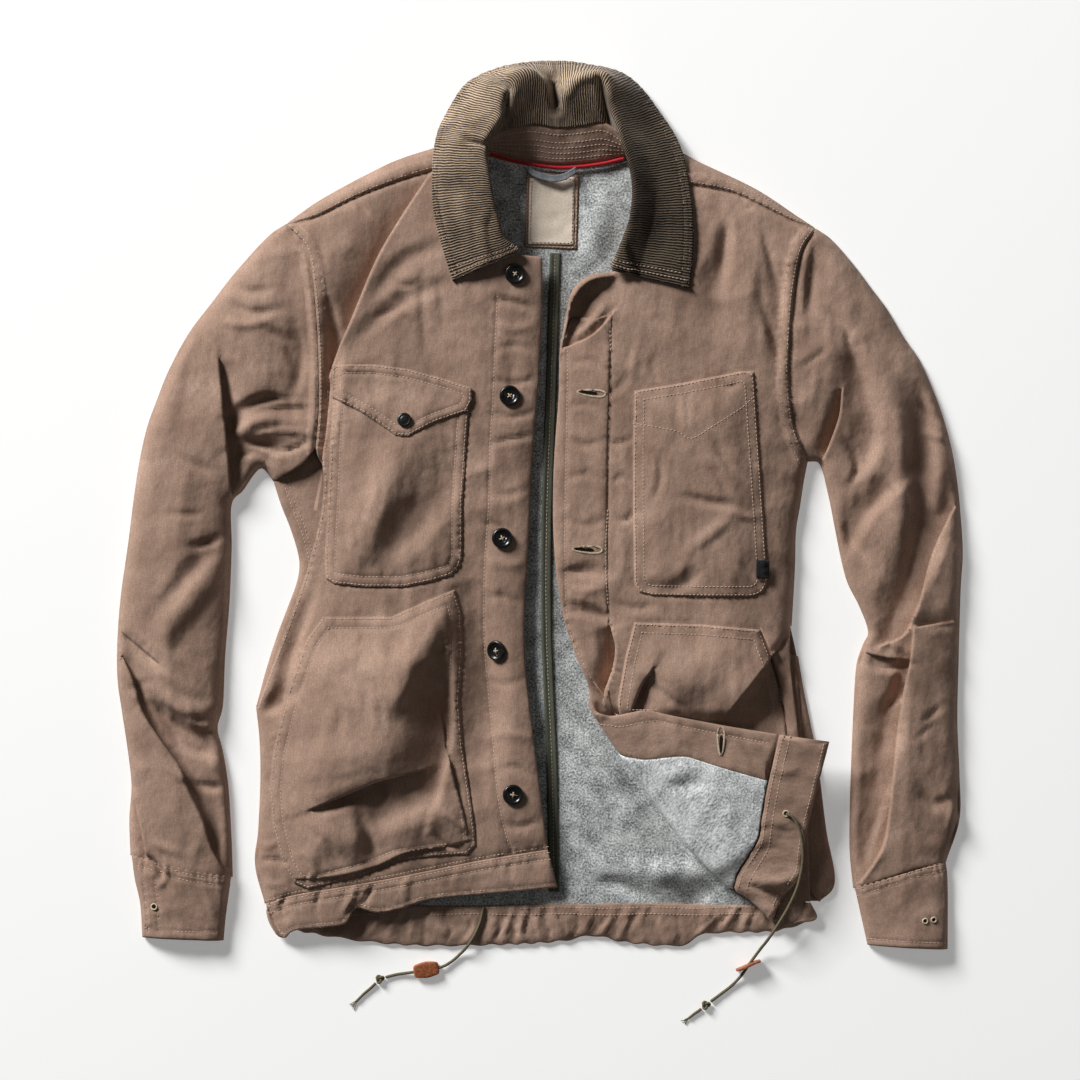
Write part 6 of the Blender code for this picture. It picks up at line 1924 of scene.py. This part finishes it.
def label_rise(x, y):
    d = nearest(x, y, np.array(label + label[:1]))[0]
    wavy = 0.9 * (mottle(x, y, 9, 41) - 0.5) * smooth_step(d / 6)
    return 1.8 + wavy + 0.35 * np.sin(y / 2.1) * np.exp(-d / 2.5)


cloth(
    "neck_label", label, on_lining_at(label_rise), finish=label_cotton, slot="neck_label", thickness=0.5,
    grid=2.0, rim=0.3,
)
sew([row_inside(label, 1.8)], on_lining_at(lambda x, y: label_rise(x, y) + 0.1), label)
sew([row_inside(backing, 1.4)], on_lining_at(1.2), backing)

cloth(
    "flag_label", traced(FLAG_LABEL, 1.5), lambda x, y, w=0.0: on_left(x, y, w, 5.0 + 0.25 * np.sin(x / 1.7)),
    finish=black_weave, slot="flag_label", thickness=0.7, grid=1.5, rim=0.3,
)

path = run([(x, y, 9.8 + 1.5 * math.sin(math.pi * k / 4)) for k, (x, y) in enumerate(HANGER_LOOP)], 1.0)
rows = np.linspace(-0.35, 0.35, 7) * 9.0
points = np.array([
    [p + np.array([0, d, 0.25 * math.cos(p[0] / 2.2) + 0.02 * d * d]) for d in rows] for p in path
])
n = len(rows)
faces = [
    (k * n + i, (k + 1) * n + i, (k + 1) * n + i + 1, k * n + i + 1)
    for k in range(len(path) - 1) for i in range(n - 1)
]
flat = np.array([[(k * 1.0, d) for d in rows] for k in range(len(path))]).reshape(-1, 2)
piece = shell("hanger_loop_tape", points.reshape(-1, 3) + [0, 0, 0.9], faces, flat, grey_tape, 1.0)
dress(piece, "hanger_loop", "herringbone", (len(path) * MM, 0.010), len(path) * 6.3e-6, "folded")

# %% [markdown]
# ## Hard trims
#
# The buttons are turned from dark horn resin: a raised rim, a sunk middle and four holes, sewn on with a
# cross of pale thread. The snap has a plain enamelled cap. The toggles are small blocks of leather.

# %% Buttons and snap


def turned(name, profile, finish, sides=48):
    """A disc turned from its profile of (radius, height)."""
    turns = np.linspace(0, 2 * math.pi, sides, endpoint=False)
    points = [(r * math.cos(a), r * math.sin(a), z) for r, z in profile for a in turns]
    faces = tube_faces(len(profile), sides)
    faces += [tuple(range(sides))[::-1], tuple(range(len(points) - sides, len(points)))]
    return mesh_object(name, points, faces, finish)


BUTTON_PROFILE = [
    (8.2, 0.0), (9.3, 0.9), (9.5, 1.9), (9.1, 2.9), (8.4, 3.5), (7.5, 3.6), (6.8, 3.2), (6.2, 2.5), (5.6, 2.3),
]
SNAP_PROFILE = [
    (5.6, 0.0), (6.3, 0.5), (6.5, 1.2), (6.2, 1.8), (5.4, 2.1), (4.6, 2.15), (4.2, 1.9), (3.8, 1.9),
    (3.4, 2.2), (2.0, 2.35), (0.4, 2.4),
]
HOLES = [(1.55, 1.55), (-1.55, 1.55), (-1.55, -1.55), (1.55, -1.55)]


def pierced(disc):
    """Cuts the four sewing holes."""
    cutters = []
    for x, y in HOLES:
        place = (x * MM, y * MM, 0)
        bpy.ops.mesh.primitive_cylinder_add(vertices=16, radius=0.85 * MM, depth=12 * MM, location=place)
        cutters.append(bpy.context.object)
        hole = disc.modifiers.new("hole", "BOOLEAN")
        hole.operation = "DIFFERENCE"
        hole.object = cutters[-1]
    graph = bpy.context.evaluated_depsgraph_get()
    mesh = bpy.data.meshes.new_from_object(disc.evaluated_get(graph))
    disc.modifiers.clear()
    disc.data = mesh
    for cutter in cutters:
        bpy.data.objects.remove(cutter)
    return disc


def seat(x, y, height, radius, lift=1.0):
    """Where a disc rests on the cloth: its centre, and its tilt."""
    turns = np.linspace(0, 2 * math.pi, 12, endpoint=False)
    rim_x, rim_y = (np.append(radius * part(turns), 0) for part in (np.cos, np.sin))
    away = np.column_stack([rim_x, rim_y, np.ones(13)])
    z = height(x + away[:, 0], y + away[:, 1])
    slope = np.linalg.lstsq(away, z, rcond=None)[0]
    normal = Vector((-slope[0], -slope[1], 1)).normalized()
    centre = Vector((x, y, slope[2] + (z - away @ slope).max())) + normal * lift
    tilt = Vector((0, 0, 1)).rotation_difference(normal)
    return Matrix.Translation(centre * MM) @ tilt.to_matrix().to_4x4()


button_blank = pierced(turned("button_blank", BUTTON_PROFILE, resin))
for number, (x, y) in enumerate(BUTTONS, 1):
    place = seat(x, y, upper, 9.5)
    spin = Matrix.Rotation(0.4 + 1.3 * number, 4, "Z")
    body = bpy.data.objects.new(f"body_{number}", button_blank.data.copy())
    parts = [body]
    for a, b in ((0, 2), (1, 3)):
        (ax, ay), (bx, by) = HOLES[a], HOLES[b]
        for off in (-0.28, 0.28):
            side = np.array([-(by - ay), bx - ax, 0]) / math.hypot(bx - ax, by - ay) * off
            through = [(ax, ay, 0.8), (ax, ay, 2.5), (0, 0, 3.0), (bx, by, 2.5), (bx, by, 0.8)]
            parts.append(tube_mesh("thread", run(np.array(through) + side, 0.4), 0.3, pale_thread, sides=6))
    for part in parts:
        part.data.transform(place @ spin)
    put(joined(f"button_{number}_horn", parts), "button", f"button_{number}")
bpy.data.objects.remove(button_blank)

snap = turned("flap_snap_cap", SNAP_PROFILE, enamel)
snap.data.transform(seat(*SNAP, height_of(on_flap), 6.5, 0.4))
put(snap, "snap", "chest_snap")
print("buttons:", len(BUTTONS))

# %% Leather toggles


def toggle(side, centre, size, angle, bend=0.0):
    """A soft-edged strip of leather, which may be bent, with creases where the cord goes in."""
    bm = bmesh.new()
    bmesh.ops.create_cube(bm, size=1)
    bmesh.ops.subdivide_edges(bm, edges=bm.edges[:], cuts=9, use_grid_fill=True)
    for v in bm.verts:
        p = np.array(v.co)
        power = (abs(2 * p) ** 6).sum() ** (1 / 6)
        p = p / max(power, 1e-6) * max(abs(2 * p).max(), 1e-6)
        x, y, z = p * np.array(size)
        y *= 1 + 0.10 * math.cos(2 * math.pi * x / size[0])
        z += 0.25 * math.sin(x * 0.9 + 1.3 * y) * (0.4 + abs(x) / size[0])
        y += bend * math.sin(math.pi * x / size[0])
        v.co = Vector((x, y, z)) * MM
    turn = Matrix.Translation(Vector(centre) * MM) @ Matrix.Rotation(math.radians(angle), 4, "Z")
    bmesh.ops.transform(bm, matrix=turn, verts=bm.verts)
    made = mesh_object(f"{side}_toggle_leather", [], [], leather)
    bm.to_mesh(made.data)
    bm.free()
    made.data.polygons.foreach_set("use_smooth", np.ones(len(made.data.polygons), bool))
    put(made, "leather", f"{side}_toggle")


toggle("right", **RIGHT_TOGGLE)
toggle("left", **LEFT_TOGGLE, bend=2.2)
print("toggles cut")

# %% [markdown]
# ## Stitches
#
# About seven stitches to the inch, each a short bead of thread that dips at its ends. Geometry Nodes
# walks along every row, sets a stitch at each step, turns it along the row, and makes it real. The
# buttonholes use the same group with a short step and the stitch turned across.

# %% Stitches by Geometry Nodes
STITCH_LENGTH, STITCH_PITCH = 2.7, 3.5


def stitch_bead(name, length, width, height, n=5):
    """One stitch: a bead that is highest in its middle, of n sections with n sides."""
    points = []
    for s in np.linspace(-1, 1, n):
        reach = math.sqrt(max(0.10, 1 - abs(s) ** 2.6))
        lift = -0.25 * abs(s) ** 3
        for a in np.linspace(0, 2 * math.pi, n, endpoint=False) + math.pi / 2:
            across = reach * width / 2 * math.cos(a)
            points.append((s * length / 2, across, reach * height / 2 * math.sin(a) + lift))
    return mesh_object(name, points, tube_faces(n, n))


GROUP_INPUTS = (  # name, kind, value
    ("Pitch", "Float", 0.0035), ("Turn", "Float", 0.0), ("Looseness", "Float", 0.06),
    ("Stitch", "Object", None), ("Thread", "Material", None),
)


def sewing_group(name):
    """Geometry Nodes: stitches along the edges of a mesh."""
    group = bpy.data.node_groups.new(name, "GeometryNodeTree")
    group.interface.new_socket("Rows", in_out="INPUT", socket_type="NodeSocketGeometry")
    for label, kind, value in GROUP_INPUTS:
        socket = group.interface.new_socket(label, in_out="INPUT", socket_type=f"NodeSocket{kind}")
        if value is not None:
            socket.default_value = value
    group.interface.new_socket("Sewn", in_out="OUTPUT", socket_type="NodeSocketGeometry")
    given = node(group, "NodeGroupInput").outputs
    curve = node(group, "GeometryNodeMeshToCurve", {}, {"Mesh": given["Rows"]}).outputs["Curve"]
    spaced = node(group, "GeometryNodeResampleCurve", {"mode": "LENGTH"}, {
        "Curve": curve, "Length": given["Pitch"],
    })
    tangent = node(group, "GeometryNodeInputTangent").outputs["Tangent"]
    along = node(group, "FunctionNodeAlignRotationToVector", {"axis": "X"}, {"Vector": tangent})
    wobble = node(group, "FunctionNodeRandomValue", {"data_type": "FLOAT"}, {"Seed": 5, 2: -1.0, 3: 1.0})
    slack = node(group, "ShaderNodeMath", {"operation": "MULTIPLY_ADD"}, {
        0: wobble.outputs[1], 1: given["Looseness"], 2: given["Turn"],
    })
    spin = node(group, "ShaderNodeCombineXYZ", {}, {"Z": slack.outputs[0]}).outputs["Vector"]
    spin = node(group, "FunctionNodeEulerToRotation", {}, {"Euler": spin}).outputs["Rotation"]
    turned_bead = node(group, "FunctionNodeRotateRotation", {"rotation_space": "LOCAL"}, {
        "Rotation": along.outputs["Rotation"], "Rotate By": spin,
    })
    shape = node(group, "GeometryNodeObjectInfo", {}, {"Object": given["Stitch"]}).outputs["Geometry"]
    placed = node(group, "GeometryNodeInstanceOnPoints", {}, {
        "Points": spaced.outputs["Curve"], "Instance": shape, "Rotation": turned_bead.outputs["Rotation"],
    })
    real = node(group, "GeometryNodeRealizeInstances", {}, {"Geometry": placed.outputs["Instances"]})
    coloured = node(group, "GeometryNodeSetMaterial", {}, {
        "Geometry": real.outputs["Geometry"], "Material": given["Thread"],
    })
    node(group, "NodeGroupOutput", {}, {"Sewn": coloured.outputs["Geometry"]})
    return group


sewing = sewing_group("row_of_stitches")


def stitches(name, rows, bead, pitch, turn, finish, slot, looseness=0.06):
    """Runs the group over rows of points, and keeps the sewn stitches as one mesh."""
    edges, start = [], 0
    for row in rows:
        edges += [(start + k, start + k + 1) for k in range(len(row) - 1)]
        start += len(row)
    made = mesh_object(name, np.vstack(rows), [], edges=edges)
    runner = made.modifiers.new("sewing", "NODES")
    runner.node_group = sewing
    socket = {item.name: item.identifier for item in sewing.interface.items_tree if item.in_out == "INPUT"}
    values = (pitch * MM, turn, looseness, bead, finish)
    for (label, *_), value in zip(GROUP_INPUTS, values):
        runner[socket[label]] = value
    graph = bpy.context.evaluated_depsgraph_get()
    real = bpy.data.meshes.new_from_object(made.evaluated_get(graph))
    made.modifiers.clear()
    made.data = real
    put(made, slot)
    print(f"{name}: {len(real.polygons)} faces")


bead = stitch_bead("stitch", STITCH_LENGTH, 0.9, 0.7)
stitches("topstitching", STITCHED, bead, STITCH_PITCH, 0.0, thread, "canvas")

# %% [markdown]
# A buttonhole is a slit with twist sewn close around it, wider at the end where the button's shank sits.
# Here the twist is the group's own stitch turned across, and the slit is a dark face of painted shade.

# %% Buttonholes


def slot_line(a, b, half):
    """A keyhole's outline round the cut from a to b, on the table: wide at a, narrow at b."""
    a, b = np.array(a, float), np.array(b, float)
    along = (b - a) / np.linalg.norm(b - a)
    across = np.array([-along[1], along[0]])
    turn = np.linspace(0, 2 * math.pi, 40)[:, None]
    width = half * np.sin(turn) * (1 - 0.35 * np.cos(turn - math.pi)) * (1 + 0.25 * np.cos(turn) ** 2)
    return run((a + b) / 2 + np.cos(turn) * (b - a) / 2 * 1.08 + width * across, 1.2)


def unfold(x, y):
    """Where on the flat front a point of the turned corner was cut."""
    spread = CORNER_SPREAD * FOLD_START[0] - CORNER_PULL[0]
    along, lies = from_fold((x + spread) / (1 + CORNER_SPREAD), y - CORNER_PULL[1])
    s = FOLD_ARC - lies
    return tuple(FOLD_START[k] + along * FOLD_DIRECTION[k] + s * FOLD_NORMAL[k] for k in (0, 1))


def in_band(x, y):
    return on_band(x, y, -0.2)


def on_facing(x, y):
    return inside_up(FACING_DEPTH)(*unfold(x, y), -0.2)


bar = stitch_bead("buttonhole_stitch", 2.3, 0.75, 0.9)
# painted shade: the dark faces laid in slits and holes
dark_slit = material("shadowed_slit", Base_Color=tint("#241b17"), Roughness=1.0, Specular_IOR_Level=0.0)[0]


def dark_patch(name, points):
    """A flat dark face: painted shade for the inside of a hole."""
    mesh = bpy.data.meshes.new(name)
    mesh.from_pydata(points * MM, [], [tuple(range(len(points)))])
    mesh.materials.append(dark_slit)
    return bpy.data.objects.new(name, mesh)


rims, slits = [], []
for place, a, b in (
    (in_band, (36, 103), (60, 101)), (in_band, (32, -41), (57, -42)), (on_facing, (164, -230), (165, -206)),
):
    rims.append(place(*slot_line(a, b, 2.9).T))
    core = slot_line(a, np.array(a) * 0.3 + np.array(b) * 0.7, 1.3)
    slits.append(dark_patch("slit", place(*core.T)[:-1] + [0, 0, 0.25]))
stitches("buttonhole_twist", rims, bar, 0.75, math.pi / 2, pale_thread, "canvas", 0.1)
put(joined("buttonhole_slits", slits), "canvas")
for extra in (bead, bar):
    bpy.data.objects.remove(extra)

# %% [markdown]
# ## Eyelets
#
# The drawcord and the cuffs have small worked eyelets: a ring of thread round a hole, drawn as a dark face of
# painted shade.

# %% Eyelets


def eyelet(x, y, height, radius):
    """A worked ring on the cloth, and its hole as a dark face of painted shade."""
    turn = np.linspace(0, 2 * math.pi, 25)
    px, py = x + radius * np.cos(turn), y + radius * np.sin(turn)
    ring = np.column_stack([px, py, height(px, py) + 0.3])
    ring = tube_mesh("ring", ring, 0.75, pale_thread, sides=8)
    hole = np.column_stack([px, py, height(px, py) + 0.45])[:-1]
    hole[:, :2] += (np.array([x, y]) - hole[:, :2]) * 0.35
    return [ring, dark_patch("hole", hole)]


def height_in_hem(x, y):
    return ruffled(*unfold(x, y))[:, 2]


right_cuff, left_cuff = height_of(laid(RIGHT_CUFF_ROWS)), height_of(laid(LEFT_CUFF_ROWS))
rings = []
for x, y, height, radius in (
    (-354, -370, right_cuff, 2.6), (355, -383, left_cuff, 2.3), (363, -382, left_cuff, 2.3),
    (226, -283, height_in_hem, 2.6),
):
    rings += eyelet(x, y, height, radius)
put(joined("eyelets", rings), "canvas")
